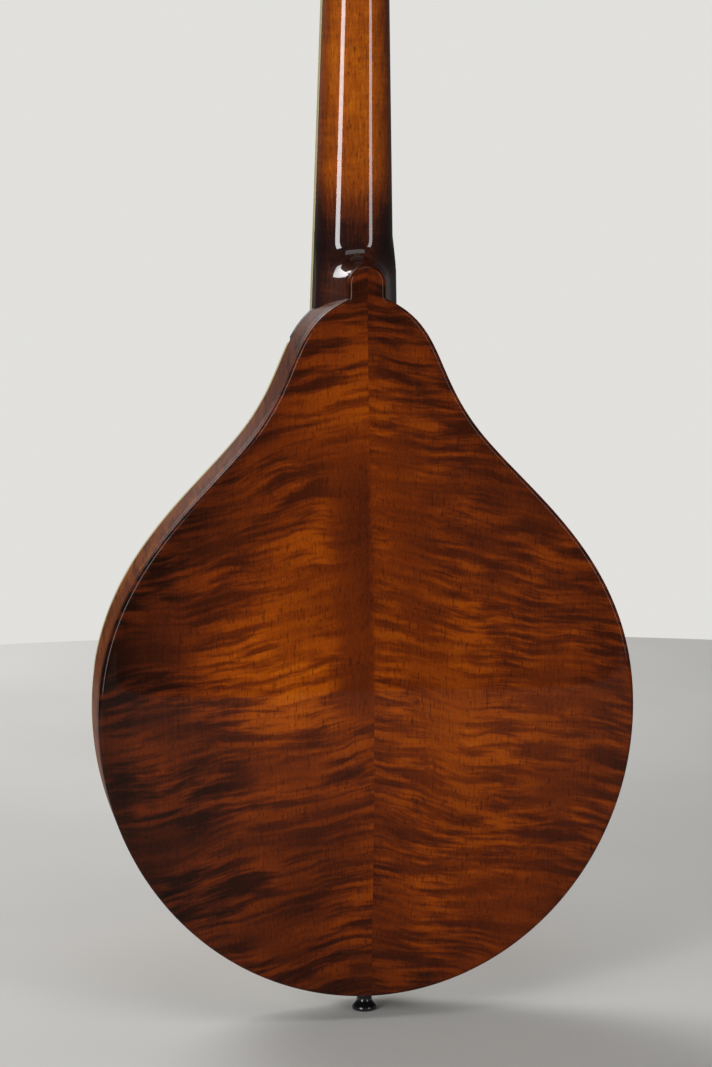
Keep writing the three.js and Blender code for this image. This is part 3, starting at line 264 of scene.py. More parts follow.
def rounding(radius: float, steps: int = 5) -> Array:
    """(inset, drop) of a quarter round, from the flat face to the side."""
    a = np.linspace(0, math.pi / 2, steps)
    return np.column_stack([radius * (1 - np.sin(a)), radius * (1 - np.cos(a))])


def slab_levels(front: float, back: float, radius: float) -> Pairs:
    """Levels of a slab with both edges rounded.

    Args:
        front: the depth of its first face.
        back: the depth of its last face.
        radius: the rounding's radius.

    Returns:
        Rows of (inset, depth).
    """
    turn = rounding(radius, 4)
    ahead = [(i, front + d) for i, d in turn]
    behind = [(i, back - d) for i, d in turn[::-1]]
    return ahead + behind


@dataclass(frozen=True)
class Seat:
    """A place that pieces are built on: its own origin, and how far its +Z leans back."""

    origin: Point = (0.0, 0.0, 0.0)
    lean: float = 0.0

    def put(self, points: Array) -> Array:
        """Turns points about x by the lean, and moves them to the origin.

        Args:
            points: places on this seat, with x, y and z on the last axis.

        Returns:
            The same places in the frame.
        """
        c, s = math.cos(self.lean), math.sin(self.lean)
        x, y, z = points[..., 0], points[..., 1], points[..., 2]
        return np.stack([x, y * c + z * s, -y * s + z * c], -1) + np.array(self.origin)

    def take(self, points: Array) -> Array:
        """Undoes put.

        Args:
            points: places in the frame.

        Returns:
            The same places on this seat.
        """
        c, s = math.cos(self.lean), math.sin(self.lean)
        p = points - np.array(self.origin)
        x, y, z = p[..., 0], p[..., 1], p[..., 2]
        return np.stack([x, y * c - z * s, y * s + z * c], -1)

    def then(self, origin: Point, lean: float) -> "Seat":
        """A seat that stands on this one and leans further."""
        moved = self.put(np.array(origin))
        return Seat(tuple(float(v) for v in moved), self.lean + lean)


class Axis(Enum):
    """The way that a turned piece's own axis points."""

    X = (0, 1, 2)
    Y = (1, 2, 0)
    Z = (2, 0, 1)


def turned(skin: Skin, profile: Array, centre: Point, axis: Axis, place: Seat, sides: int = 40,
           closed: bool = False, knurl: tuple[int, float] = (0, 0.0)) -> Skin:
    """Adds a turned piece: a profile of (radius, height) carried round an axis.

    Args:
        skin: takes the surface.
        profile: rows of (radius, height). The ends of an open one are closed by discs.
        centre: the place of height 0, in the seat's axes.
        axis: the way that height runs.
        place: the seat.
        sides: points round the axis.
        closed: whether the profile's last point joins its first, as in a ring.
        knurl: a count of ridges and their depth, on the widest rows.

    Returns:
        The skin.
    """
    a = circle(sides)[None, :]
    ridges, depth = knurl
    rim = profile[:, :1] > profile[:, 0].max() - 0.1
    r = profile[:, :1] - depth * np.abs(np.sin(ridges * a / 2)) * rim
    out = np.zeros((len(profile), sides, 3))
    h, u, v = axis.value
    out[..., h] = profile[:, 1:2]
    out[..., u] = r * np.cos(a)
    out[..., v] = r * np.sin(a)
    return skin.grid(place.put(out + np.array(centre)), loop=closed)


def swept(skin: Skin, path: Array, radius: Array | float, sides: int = 12,
          across: Point = (0.0, 1.0, 0.0)) -> Skin:
    """Adds a round bar along a path, with map coordinates that run along it.

    Each ring stands square to the path: its first direction is the fixed one, less its part along
    the path, and its second is their cross product.

    Args:
        skin: takes the surface.
        path: points x 3, in the frame.
        radius: the bar's radius, or one for each point.
        sides: points round the bar.
        across: a direction that the path never follows.

    Returns:
        The skin.
    """
    tangent = np.gradient(path, axis=0)
    tangent /= np.linalg.norm(tangent, axis=1, keepdims=True)
    first = np.array(across) - (tangent @ np.array(across))[:, None] * tangent
    first /= np.linalg.norm(first, axis=1, keepdims=True)
    second = np.cross(tangent, first)
    a = circle(sides)
    r = np.broadcast_to(np.asarray(radius, float), (len(path),))[:, None, None]
    ring = first[:, None, :] * np.cos(a)[None, :, None] + second[:, None, :] * np.sin(a)[None, :, None]
    length = np.r_[0, np.cumsum(np.linalg.norm(np.diff(path, axis=0), axis=1))]
    around = np.linspace(0, 1, sides + 1)
    chart = np.stack(np.meshgrid(length, around, indexing="ij"), -1)
    return skin.grid(path[:, None, :] + r * ring, chart=chart)
# ---- Finishes ----

Socket = bpy.types.NodeSocket
Stops = tuple[tuple[float, str], ...]


def linear(code: str) -> tuple[float, float, float, float]:
    """An sRGB hex colour as linear light: c / 12.92 below 0.04045, else ((c + 0.055) / 1.055)^2.4.

    Args:
        code: the colour, as #rrggbb.

    Returns:
        Red, green, blue and a full alpha.
    """
    parts = [int(code[k : k + 2], 16) / 255 for k in (1, 3, 5)]
    light = [c / 12.92 if c <= 0.04045 else ((c + 0.055) / 1.055) ** 2.4 for c in parts]
    return (light[0], light[1], light[2], 1.0)


class Tree:
    """The nodes of a material or of the world, with one way to add a node."""

    def __init__(self, owner: bpy.types.Material | bpy.types.World, end: str) -> None:
        """Leaves the owner no node but its output.

        Args:
            owner: what holds the nodes.
            end: the output's type, without ShaderNodeOutput.
        """
        owner.use_nodes = True
        self.tree = owner.node_tree
        self.tree.nodes.clear()
        self.output = self.tree.nodes.new("ShaderNodeOutput" + end)

    def add(self, kind: str, sockets: tuple | dict = (), operation: str = "", out: int = 0,
            stops: Stops = (), **settings: object) -> Socket:
        """Adds a node with its settings and links.

        Args:
            kind: the node's type, without ShaderNode.
            sockets: values in the order of the inputs, or by input name or number. An output is linked.
            operation: what a maths node does.
            out: the number of the output to hand back.
            stops: places and hex colours, for a colour ramp.
            settings: the node's own properties.

        Returns:
            The chosen output.
        """
        made = self.tree.nodes.new("ShaderNode" + kind)
        for key, value in ({"operation": operation} | settings if operation else settings).items():
            setattr(made, key, value)
        for key, value in (sockets if isinstance(sockets, dict) else dict(enumerate(sockets))).items():
            if isinstance(value, Socket):
                self.tree.links.new(value, made.inputs[key])
            else:
                made.inputs[key].default_value = value
        for number, (place, code) in enumerate(stops):
            ladder = made.color_ramp.elements
            step = ladder[number] if number < 2 else ladder.new(1.0)
            step.position, step.color = place, linear(code)
        return made.outputs[out]

    def end_in(self, shader: Socket) -> None:
        """Links a shader to the output."""
        self.tree.links.new(shader, self.output.inputs[0])


class Recipe(Tree):
    """A material's nodes, which start from a place in millimetres, called at."""

    def __init__(self, name: str) -> None:
        """Makes the material.

        Args:
            name: its name.
        """
        self.material = bpy.data.materials.new(name)
        super().__init__(self.material, "Material")
        self.at = self.add("VectorMath", (self.add("TexCoord", out=3), (1000.0,) * 3), "MULTIPLY")

    def finish(self, sockets: dict[str, object]) -> bpy.types.Material:
        """Ends the recipe in a Principled shader with these sockets, and gives the material."""
        self.end_in(self.add("BsdfPrincipled", sockets))
        return self.material


class Figure(Enum):
    """Where a maple piece's figure is laid out."""

    BACK = "bookmatched about the centre seam"
    RIB = "along the bent rib's own map"
    NECK = "across the neck"


@dataclass(frozen=True)
class FlamedMaple:
    """Flamed hard maple, stained by hand in a sunburst, then lacquered and buffed to a mirror.

    Where the fibres wave in and out of the surface they take more or less stain and light, so the
    flame shows as irregular stripes across the grain, dark and soft at one flank and sharp at the
    other. On a bookmatched back the halves lean opposite ways, so a stripe that is dark on one
    side of the seam meets a light one. The lacquer gives a second, sharp highlight over the wood.
    """

    name: str
    figure: Figure
    stops: Stops
    stripe_mm: float = 4.7
    reach_mm: float = 35.0
    slope: float = 0.2
    contrast: float = 0.92
    lacquer: float = 0.18
    streaks: float = 0.11

    def flame(self, mix: Recipe, across: Socket, up: Socket, side: Socket | float, seat: Socket) -> Socket:
        """How far each point's fibres lean, from -1, dark, to 1, light.

        The height up the wood, plus the slope times the distance across it, plus two slow drifts,
        is the stripe's own coordinate. Noise that is long across and short along it makes stripes.

        Args:
            mix: the recipe.
            across: the distance across the grain, in millimetres.
            up: the distance along it.
            side: 1 on one half of a bookmatched plate, else 0.
            seat: the point, with the halves kept apart.

        Returns:
            The lean.
        """
        sway = mix.add("VectorMath", (seat, (70, 9, 80)), "DIVIDE")
        sway = mix.add("TexNoise", {"Vector": sway, "Scale": 1.0, "Detail": 1.0})
        quiver = mix.add("VectorMath", (seat, (17, 9, 14)), "DIVIDE")
        quiver = mix.add("TexNoise", {"Vector": quiver, "Scale": 1.0, "Detail": 2.0})
        line = mix.add("Math", (across, self.slope, up), "MULTIPLY_ADD")
        line = mix.add("Math", (sway, 22.0, line), "MULTIPLY_ADD")
        line = mix.add("Math", (quiver, 3.6, line), "MULTIPLY_ADD")
        apart = mix.add("Math", (side, 53.0), "MULTIPLY")
        bent = mix.add("CombineXYZ", (across, apart, line))
        broad = mix.add("VectorMath", (bent, (self.reach_mm, 10, self.stripe_mm * 1.15)), "DIVIDE")
        broad = mix.add("TexNoise", {"Vector": broad, "Scale": 1.0, "Detail": 1.0})
        small = (self.reach_mm * 0.5, 10, self.stripe_mm * 0.5)
        fine = mix.add("VectorMath", (bent, small), "DIVIDE")
        fine = mix.add("TexNoise", {"Vector": fine, "Scale": 1.0, "Detail": 2.5, "Roughness": 0.6})
        both = mix.add("Math", (broad, fine), "ADD")
        lean = mix.add("MapRange", (both, 0.74, 1.22, -1.0, 1.0), interpolation_type="SMOOTHSTEP")
        if self.figure is not Figure.BACK:
            return lean
        return mix.add("Math", (lean, mix.add("Math", (side, 2.0, -1.0), "MULTIPLY_ADD")),
                       "MULTIPLY")

    def material(self) -> bpy.types.Material:
        """Builds the finish.

        Returns:
            The material.
        """
        mix = Recipe(self.name)
        rib = self.figure is Figure.RIB
        at = mix.at
        if rib:
            chart = mix.add("UVMap", uv_map="chart")
            at = mix.add("VectorMath", (chart, (1000.0,) * 3), "MULTIPLY")
        across = mix.add("SeparateXYZ", (at,), out=1 if rib else 0)
        up = mix.add("SeparateXYZ", (at,), out=0 if rib else 2)
        side: Socket | float = 0.0
        if self.figure is Figure.BACK:
            side = mix.add("Math", (across, 0.0), "GREATER_THAN")
            across = mix.add("Math", (across,), "ABSOLUTE")
        seat = mix.add("CombineXYZ", (across, mix.add("Math", (side, 37.0), "MULTIPLY"), up))
        lean = self.flame(mix, across, up, side, seat)
        patch = mix.add("VectorMath", (seat, (50, 12, 34)), "DIVIDE")
        patch = mix.add("TexNoise", {"Vector": patch, "Scale": 1.0, "Detail": 2.0})
        strong = mix.add("MapRange", (patch, 0.38, 0.56, 0.3, 1.0))
        calm = mix.add("Math", (mix.add("Attribute", out=2, attribute_name="plain"), -0.9, 1.0),
                       "MULTIPLY_ADD")
        swing = mix.add("Math", (strong, calm), "MULTIPLY")
        lean = mix.add("Math", (lean, swing), "MULTIPLY")
        tone = mix.add("Attribute", out=2, attribute_name="tone")
        tone = mix.add("Math", (lean, 0.18 * self.contrast, tone), "MULTIPLY_ADD")
        # Clouds are uneven stain. Streaks are year rings. Rays and pores are a few tenths of a
        # millimetre wide, and are drawn at 0.8 mm to be seen.
        grain = (34, 0.9, 9) if rib else (0.9, 0.9, 34)
        layers = (((34, 12, 52), 0.26, seat), (grain, self.streaks, at), ((0.8, 0.8, 1.5), 0.16, at))
        for size, swing, where in layers:
            layer = mix.add("VectorMath", (where, size), "DIVIDE")
            layer = mix.add("TexNoise", {"Vector": layer, "Scale": 1.0, "Detail": 2.0})
            layer = mix.add("Math", (layer, 0.5), "SUBTRACT")
            tone = mix.add("Math", (layer, swing, tone), "MULTIPLY_ADD")
        colour = mix.add("ValToRGB", (tone,), stops=self.stops)
        fleck = mix.add("VectorMath", (at, (4.5, 0.8, 3) if rib else (0.8, 0.8, 4.5)), "DIVIDE")
        fleck = mix.add("TexNoise", {"Vector": fleck, "Scale": 1.0, "Detail": 1.0})
        fleck = mix.add("MapRange", (fleck, 0.6, 0.7, 0.0, 0.5))
        colour = mix.add("Mix", {0: fleck, 6: colour, 7: linear("#2a0f04")}, out=2, data_type="RGBA")
        ripple = mix.add("VectorMath", (at, (16, 16, 22)), "DIVIDE")
        ripple = mix.add("TexNoise", {"Vector": ripple, "Scale": 1.0, "Detail": 1.0})
        return mix.finish({
            "Base Color": colour,
            "Roughness": 0.45,
            "Specular IOR Level": 0.02,
            "Coat Weight": self.lacquer,
            "Coat Roughness": 0.03,
            "Coat IOR": 1.5,
            "Coat Normal": mix.add("Bump", {"Height": ripple, "Distance": 0.02 * MM, "Strength": 0.35}),
        })


@dataclass(frozen=True)
class BurstSpruce:
    """Close-grained spruce, quarter sawn, shaded from honey to dark brown and lacquered.

    The year rings are fine dark lines up and down the plate, drawn 1.6 mm apart where real ones
    are about a millimetre, with faint silvery cross rays. Both halves come from one wedge, so the
    lines mirror about the seam.
    """

    name: str = "burst_spruce"
    ring_mm: float = 1.6
    stops: Stops = ((0.0, "#1b0904"), (0.22, "#3a1406"), (0.45, "#7c360c"), (0.72, "#b8661c"),
                    (1.0, "#d58a34"))

    def material(self) -> bpy.types.Material:
        """Builds the finish.

        Returns:
            The material.
        """
        mix = Recipe(self.name)
        across = mix.add("Math", (mix.add("SeparateXYZ", (mix.at,)),), "ABSOLUTE")
        drift = mix.add("VectorMath", (mix.at, (40, 40, 160)), "DIVIDE")
        drift = mix.add("TexNoise", {"Vector": drift, "Scale": 1.0, "Detail": 1.0})
        turns = mix.add("Math", (drift, 5.0, across), "MULTIPLY_ADD")
        wave = mix.add("Math", (turns, 2 * math.pi / self.ring_mm), "MULTIPLY")
        wave = mix.add("Math", (wave,), "SINE")
        ring = mix.add("Math", (wave, 0.5, 0.5), "MULTIPLY_ADD")
        ring = mix.add("Math", (ring, 2.5), "POWER")
        tone = mix.add("Attribute", out=2, attribute_name="tone")
        tone = mix.add("Math", (ring, -0.2, tone), "MULTIPLY_ADD")
        rays = mix.add("VectorMath", (mix.at, (5, 5, 0.6)), "DIVIDE")
        rays = mix.add("TexNoise", {"Vector": rays, "Scale": 1.0, "Detail": 2.0})
        tone = mix.add("Math", (rays, 0.06, tone), "MULTIPLY_ADD")
        return mix.finish({
            "Base Color": mix.add("ValToRGB", (tone,), stops=self.stops),
            "Roughness": 0.45,
            "Specular IOR Level": 0.25,
            "Coat Weight": 1.0,
            "Coat Roughness": 0.04,
            "Normal": mix.add("Bump", {"Height": ring, "Distance": 0.02 * MM, "Strength": 0.3}),
        })


@dataclass(frozen=True)
class PlainWood:
    """An unfigured wood with fine straight pores, left as it was sawn or oiled and rubbed.

    The pores run along one axis as short dark lines, and the ground shifts slowly in tone.
    """

    name: str
    light: str
    dark: str
    roughness: float
    grain: Point = (0.5, 0.5, 12.0)
    coat: float = 0.0

    def material(self) -> bpy.types.Material:
        """Builds the finish.

        Returns:
            The material.
        """
        mix = Recipe(self.name)
        pores = mix.add("VectorMath", (mix.at, self.grain), "DIVIDE")
        pores = mix.add("TexNoise", {"Vector": pores, "Scale": 1.0, "Detail": 3.0, "Roughness": 0.6})
        ground = mix.add("VectorMath", (mix.at, (20, 20, 60)), "DIVIDE")
        ground = mix.add("TexNoise", {"Vector": ground, "Scale": 1.0, "Detail": 1.0})
        ground = mix.add("Math", (ground, 0.3), "MULTIPLY")
        tone = mix.add("Math", (pores, 0.7, ground), "MULTIPLY_ADD")
        return mix.finish({
            "Base Color": mix.add("ValToRGB", (tone,), stops=((0.3, self.dark), (0.68, self.light))),
            "Roughness": mix.add("MapRange", (pores, 0.3, 0.7, self.roughness + 0.1, self.roughness - 0.06)),
            "Coat Weight": self.coat,
            "Coat Roughness": 0.08,
            "Normal": mix.add("Bump", {"Height": pores, "Distance": 0.03 * MM, "Strength": 0.5}),
        })


@dataclass(frozen=True)
class Celluloid:
    """Cast celluloid in thin cream layers, scraped flush and buffed, for bindings and knobs.

    Its layers show as faint parallel lines. It scatters a little light under a smooth skin.
    """

    name: str
    light: str
    dark: str
    layer_mm: float = 0.7
    cloud_mm: float = 6.0

    def material(self) -> bpy.types.Material:
        """Builds the finish.

        Returns:
            The material.
        """
        mix = Recipe(self.name)
        sheets = (self.layer_mm * 6, self.layer_mm, self.layer_mm * 6)
        layers = mix.add("VectorMath", (mix.at, sheets), "DIVIDE")
        layers = mix.add("TexNoise", {"Vector": layers, "Scale": 1.0, "Detail": 2.0})
        cloud = mix.add("VectorMath", (mix.at, (self.cloud_mm,) * 3), "DIVIDE")
        cloud = mix.add("TexNoise", {"Vector": cloud, "Scale": 1.0, "Detail": 2.0})
        cloud = mix.add("Math", (cloud, 0.4), "MULTIPLY")
        tone = mix.add("Math", (layers, 0.6, cloud), "MULTIPLY_ADD")
        return mix.finish({
            "Base Color": mix.add("ValToRGB", (tone,), stops=((0.35, self.dark), (0.62, self.light))),
            "Roughness": 0.3,
            "Subsurface Weight": 0.08,
            "Subsurface Radius": (0.0008, 0.0006, 0.0003),
            "Coat Weight": 0.6,
            "Coat Roughness": 0.06,
        })


@dataclass(frozen=True)
class Metal:
    """A metal part, drawn, turned or plated, whose fine marks run along one axis.

    Rolling and polishing leave hair-thin lines that spread its highlight along them. Handling
    dulls the high places a little, so its gloss shifts over a centimetre or two.
    """

    name: str
    colour: str
    worn: str
    roughness: float
    lines_mm: Point = (4.0, 0.12, 4.0)
    haze_mm: float = 16.0

    def material(self) -> bpy.types.Material:
        """Builds the finish.

        Returns:
            The material.
        """
        mix = Recipe(self.name)
        lines = mix.add("VectorMath", (mix.at, self.lines_mm), "DIVIDE")
        lines = mix.add("TexNoise", {"Vector": lines, "Scale": 1.0, "Detail": 2.0})
        haze = mix.add("VectorMath", (mix.at, (self.haze_mm,) * 3), "DIVIDE")
        haze = mix.add("TexNoise", {"Vector": haze, "Scale": 1.0, "Detail": 2.0})
        return mix.finish({
            "Base Color": mix.add("ValToRGB", (haze,), stops=((0.35, self.colour), (0.75, self.worn))),
            "Metallic": 1.0,
            "Roughness": mix.add("MapRange", (haze, 0.35, 0.7, self.roughness * 0.85, self.roughness * 1.25)),
            "Normal": mix.add("Bump", {"Height": lines, "Distance": 0.002 * MM, "Strength": 0.2}),
        })


@dataclass(frozen=True)
class WoundWire:
    """Phosphor bronze wire wound tightly round a steel core, a quarter of a millimetre a turn.

    The winding shows as fine ribs across the string, drawn at 0.35 mm so that they can be seen.
    The grooves between the turns are coloured dark, as painted shade.
    """

    name: str = "wound_wire"
    turn_mm: float = 0.35

    def material(self) -> bpy.types.Material:
        """Builds the finish.

        Returns:
            The material.
        """
        mix = Recipe(self.name)
        along = mix.add("SeparateXYZ", (mix.add("UVMap", uv_map="chart"),))
        ribs = mix.add("Math", (along, 2000 * math.pi / self.turn_mm), "MULTIPLY")
        ribs = mix.add("Math", (ribs,), "SINE")
        lift = mix.add("Math", (ribs, 0.5, 0.5), "MULTIPLY_ADD")
        # Painted shade: the ramp colours the grooves between the turns dark and the crests light bronze.
        return mix.finish({
            "Base Color": mix.add("ValToRGB", (lift,), stops=((0.0, "#6b3f1e"), (1.0, "#d69a63"))),
            "Metallic": 1.0,
            "Roughness": 0.3,
            "Normal": mix.add("Bump", {"Height": lift, "Distance": 0.05 * MM, "Strength": 0.8}),
        })


@dataclass(frozen=True)
class MouldedPlastic:
    """Black plastic, moulded against a polished tool, with faint flow marks and dust-fine pits."""

    name: str = "black_plastic"
    colour: str = "#0c0c0d"

    def material(self) -> bpy.types.Material:
        """Builds the finish.

        Returns:
            The material.
        """
        mix = Recipe(self.name)
        flow = mix.add("VectorMath", (mix.at, (7, 7, 2)), "DIVIDE")
        flow = mix.add("TexNoise", {"Vector": flow, "Scale": 1.0, "Detail": 2.0})
        pits = mix.add("VectorMath", (mix.at, (0.4,) * 3), "DIVIDE")
        pits = mix.add("TexNoise", {"Vector": pits, "Scale": 1.0, "Detail": 2.0})
        return mix.finish({
            "Base Color": mix.add("ValToRGB", (flow,), stops=((0.3, self.colour), (0.7, "#17161a"))),
            "Roughness": mix.add("MapRange", (flow, 0.3, 0.7, 0.16, 0.28)),
            "Normal": mix.add("Bump", {"Height": pits, "Distance": 0.004 * MM, "Strength": 0.3}),
        })


@dataclass(frozen=True)
class Pearl:
    """Mother-of-pearl, sawn thin and polished: pale, with soft bands that lean to green and pink."""

    name: str = "pearl"
    stops: Stops = ((0.3, "#c9d6c4"), (0.45, "#efe8da"), (0.6, "#dccbd0"), (0.75, "#f6f1e6"))

    def material(self) -> bpy.types.Material:
        """Builds the finish.

        Returns:
            The material.
        """
        mix = Recipe(self.name)
        bands = mix.add("VectorMath", (mix.at, (1.6, 1.6, 0.9)), "DIVIDE")
        bands = mix.add("TexNoise", {"Vector": bands, "Scale": 1.0, "Detail": 3.0})
        tint = mix.add("ValToRGB", (bands,), stops=self.stops)
        return mix.finish({"Base Color": tint, "Roughness": 0.16, "Coat Weight": 0.8, "Coat Roughness": 0.05})


@dataclass(frozen=True)
class StudioPaper:
    """Matt paper, pale grey and faintly mottled, laid as a floor."""

    name: str = "studio_paper"

    def material(self) -> bpy.types.Material:
        """Builds the finish.

        Returns:
            The material.
        """
        mix = Recipe(self.name)
        mottle = mix.add("VectorMath", (mix.at, (260, 260, 260)), "DIVIDE")
        mottle = mix.add("TexNoise", {"Vector": mottle, "Scale": 1.0, "Detail": 2.0})
        paper = mix.add("ValToRGB", (mottle,), stops=((0.3, "#c6c5c2"), (0.7, "#cdccc9")))
        return mix.finish({"Base Color": paper, "Roughness": 0.9})


class Wardrobe:
    """Every finish of the instrument, each built once."""

    def __init__(self) -> None:
        """Builds the finishes."""
        burst = ((0.0, "#110502"), (0.15, "#240c04"), (0.32, "#431806"), (0.5, "#632605"), (0.7, "#893c04"),
                 (0.86, "#a65407"), (1.0, "#cc7c16"))
        brown = ((0.0, "#150703"), (0.25, "#341405"), (0.5, "#5c2a0c"), (0.75, "#844711"), (1.0, "#a8651d"))
        amber = ((0.0, "#0e0504"), (0.2, "#260d07"), (0.42, "#5a2508"), (0.65, "#924506"), (0.85, "#b86a10"),
                 (1.0, "#cf882c"))
        self.back = FlamedMaple("flamed_maple_back", Figure.BACK, burst).material()
        self.ribs = FlamedMaple("flamed_maple_ribs", Figure.RIB, brown, stripe_mm=3.8, reach_mm=40.0,
                                slope=0.15, contrast=0.7, lacquer=0.05).material()
        self.neck = FlamedMaple("flamed_maple_neck", Figure.NECK, amber, stripe_mm=5.0, reach_mm=18.0,
                                slope=0.05, contrast=0.22, lacquer=0.8, streaks=0.3).material()
        self.top = BurstSpruce().material()
        self.raw = PlainWood("sawn_spruce", "#dcb983", "#b98f58", 0.75).material()
        black, dark, up, across = "#241a15", "#0d0908", (0.4, 0.4, 9.0), (9.0, 0.4, 0.4)
        self.ebony = PlainWood("oiled_ebony", black, dark, 0.38, up).material()
        self.ebony_cross = PlainWood("oiled_ebony_crosswise", black, dark, 0.38, across).material()
        self.veneer = PlainWood("lacquered_veneer", "#15100e", "#0a0706", 0.3, up, 1.0).material()
        self.binding = Celluloid("cream_celluloid", "#efe0a4", "#d9c682").material()
        self.knob = Celluloid("pearled_celluloid", "#f4efe0", "#cfc6ae", 1.4, 2.4).material()
        self.bone = Celluloid("polished_bone", "#f1ead6", "#ddd2b6", 0.5, 3.0).material()
        self.nickel = Metal("nickel_plate", "#d9d5cc", "#cbc6bb", 0.12).material()
        self.brass = Metal("turned_brass", "#c79a4c", "#9a7433", 0.26, haze_mm=5.0).material()
        self.steel = Metal("drawn_steel", "#c9cbcd", "#b7b9bb", 0.22, (3.0, 3.0, 40.0)).material()
        self.wound = WoundWire().material()
        self.plastic = MouldedPlastic().material()
        self.pearl = Pearl().material()
        self.black_dot = MouldedPlastic("black_fibre", "#0a0908").material()


# ---- The body ----


@dataclass(frozen=True)
class BodyShape:
    """The pear-shaped outline, and the arch that both carved plates share."""

    length: float = 330.0
    half_width: float = 127.0
    widest: float = 135.5
    waist_half: float = 51.3
    waist_drop: float = 60.2
    waist_lean: float = 0.64
    shoulder_reach: float = 36.0
    shoulder_drop: float = 12.7
    button_half: float = 8.8
    button_length: float = 15.5
    tail: float = 12.0
    rib_face: float = 17.0
    plate_face: float = 21.5
    arch_rise: float = 11.5
    arch_land: float = 0.08
    arch_fullness: float = 1.4
    crown: float = 4.5
    thin: float = 3.3
    arch_centre: float = 168.1
    binding_stop: float = 21.0
    samples: int = 150

    @property
    def joint(self) -> float:
        """Height at which the neck leaves the body."""
        return self.tail + self.length

    @cached_property
    def half(self) -> Array:
        """The treble half of the outline, from the tail to the neck.

        A quarter ellipse runs up to the widest place, and two cubic curves run on through the
        waist to the shoulder. The points are then spaced evenly.

        Returns:
            Rows of x and z.
        """
        a = np.linspace(-math.pi / 2, 0, 120)
        low = np.column_stack([self.half_width * np.cos(a), self.widest * (1 + np.sin(a))])
        waist = np.array([self.waist_half, self.length - self.waist_drop])
        rise = waist[1] - self.widest
        up = np.array([-math.sin(self.waist_lean), math.cos(self.waist_lean)])
        widest = np.array([self.half_width, self.widest])
        flank = bezier(widest, widest + (0, 0.53 * rise), waist - 0.29 * rise * up, waist, 90)
        top = np.array([self.shoulder_reach, self.length - self.shoulder_drop])
        end = np.array([self.button_half, self.length])
        shoulder = bezier(waist, waist + 0.57 * self.waist_drop * up, top, end, 70)
        line = resample(np.vstack([low, flank[1:], shoulder[1:]]), self.samples)
        return line + (0, self.tail)

    @cached_property
    def out(self) -> Array:
        """The half outline's normals.

        Returns:
            Rows of x and z, which point out of the body.
        """
        along = np.gradient(self.half, axis=0)
        along[0] = (1, 0)
        out = np.column_stack([along[:, 1], -along[:, 0]])
        return out / np.linalg.norm(out, axis=1, keepdims=True)

    def edge(self, inset: Array | float, side: int = 1) -> Array:
        """The half outline, drawn in along its normals and never past the centreline."""
        line = self.half - self.out * np.broadcast_to(inset, (self.samples,))[:, None]
        return np.column_stack([side * np.maximum(line[:, 0], 0), line[:, 1]])

    def loop(self, inset: Array | float, tongue: bool = False) -> Array:
        """The whole outline, drawn in.

        Args:
            inset: how far, all round or at each point of the half outline.
            tongue: whether it runs round the button over the heel.

        Returns:
            The loop's points.
        """
        treble = self.edge(inset)
        bass = self.edge(inset, -1)[:0:-1]
        if not tongue:
            return np.vstack([treble, bass])
        radius = max(self.button_half - float(np.max(inset)), 0.4)
        high = self.joint + self.button_length - self.button_half
        straight = np.linspace(self.joint + 0.5, high, 4)[:-1]
        a = np.linspace(0, math.pi, 17)
        cap = np.column_stack([radius * np.cos(a), high + radius * np.sin(a)])
        rise = np.column_stack([np.full(3, radius), straight])
        fall = np.column_stack([np.full(3, -radius), straight[::-1]])
        return np.vstack([treble, rise, cap, fall, bass])

    @cached_property
    def _fit(self) -> tuple[Array, float]:
        """Fits the soap film to the outline by least squares.

        Returns:
            The film's factors and its peak.
        """
        factors = np.linalg.lstsq(*self._terms(self.half[:, 0], self.half[:, 1]), rcond=None)[0]
        z = np.linspace(self.tail, self.joint, 201)
        terms, sag = self._terms(np.zeros(201), z)
        return factors, float((terms @ factors - sag).max())

    def _terms(self, x: Array, z: Array) -> tuple[Array, Array]:
        """The soap film's terms, where w is the place in units of half the body.

        Args:
            x: distances across the body.
            z: heights.

        Returns:
            The real parts of w^0 to w^10, and |w|^2 / 4.
        """
        unit = self.length / 2
        w = (z - self.tail) / unit - 1 + 1j * x / unit
        return np.stack([(w**k).real for k in range(11)], -1), np.abs(w) ** 2 / 4

    def swell(self, x: Array, z: Array) -> Array:
        """A soap film blown up over the outline: 0 along it, and 1 at the top of the arch.

        The film is minus the square of the distance from the middle, over 4, plus harmonic
        polynomials that bring it to 0 along the outline.

        Args:
            x: distances across the body.
            z: heights.

        Returns:
            The film's height.
        """
        factors, peak = self._fit
        terms, sag = self._terms(x, z)
        return np.clip((terms @ factors - sag) / peak, 0, 1)

    def arch(self, swollen: Array) -> Array:
        """Height over the flat edge: the rise times a power of the swell above the land."""
        over = np.maximum(0, (swollen - self.arch_land) / (1 - self.arch_land))
        return self.arch_rise * over**self.arch_fullness

    def outer(self, x: Array, z: Array) -> Array:
        """Depth of a plate's outer face."""
        return self.plate_face + self.arch(self.swell(x, z))

    def inner(self, x: Array, z: Array) -> Array:
        """Depth of a plate's inner face: the outer one less a thickness that grows to the crown."""
        swollen = self.swell(x, z)
        return self.plate_face + self.arch(swollen) - self.thin - (self.crown - self.thin) * swollen


class Face(Enum):
    """A carved plate's two faces."""

    OUTSIDE = "the arched face that is seen"
    INSIDE = "the hollowed face"


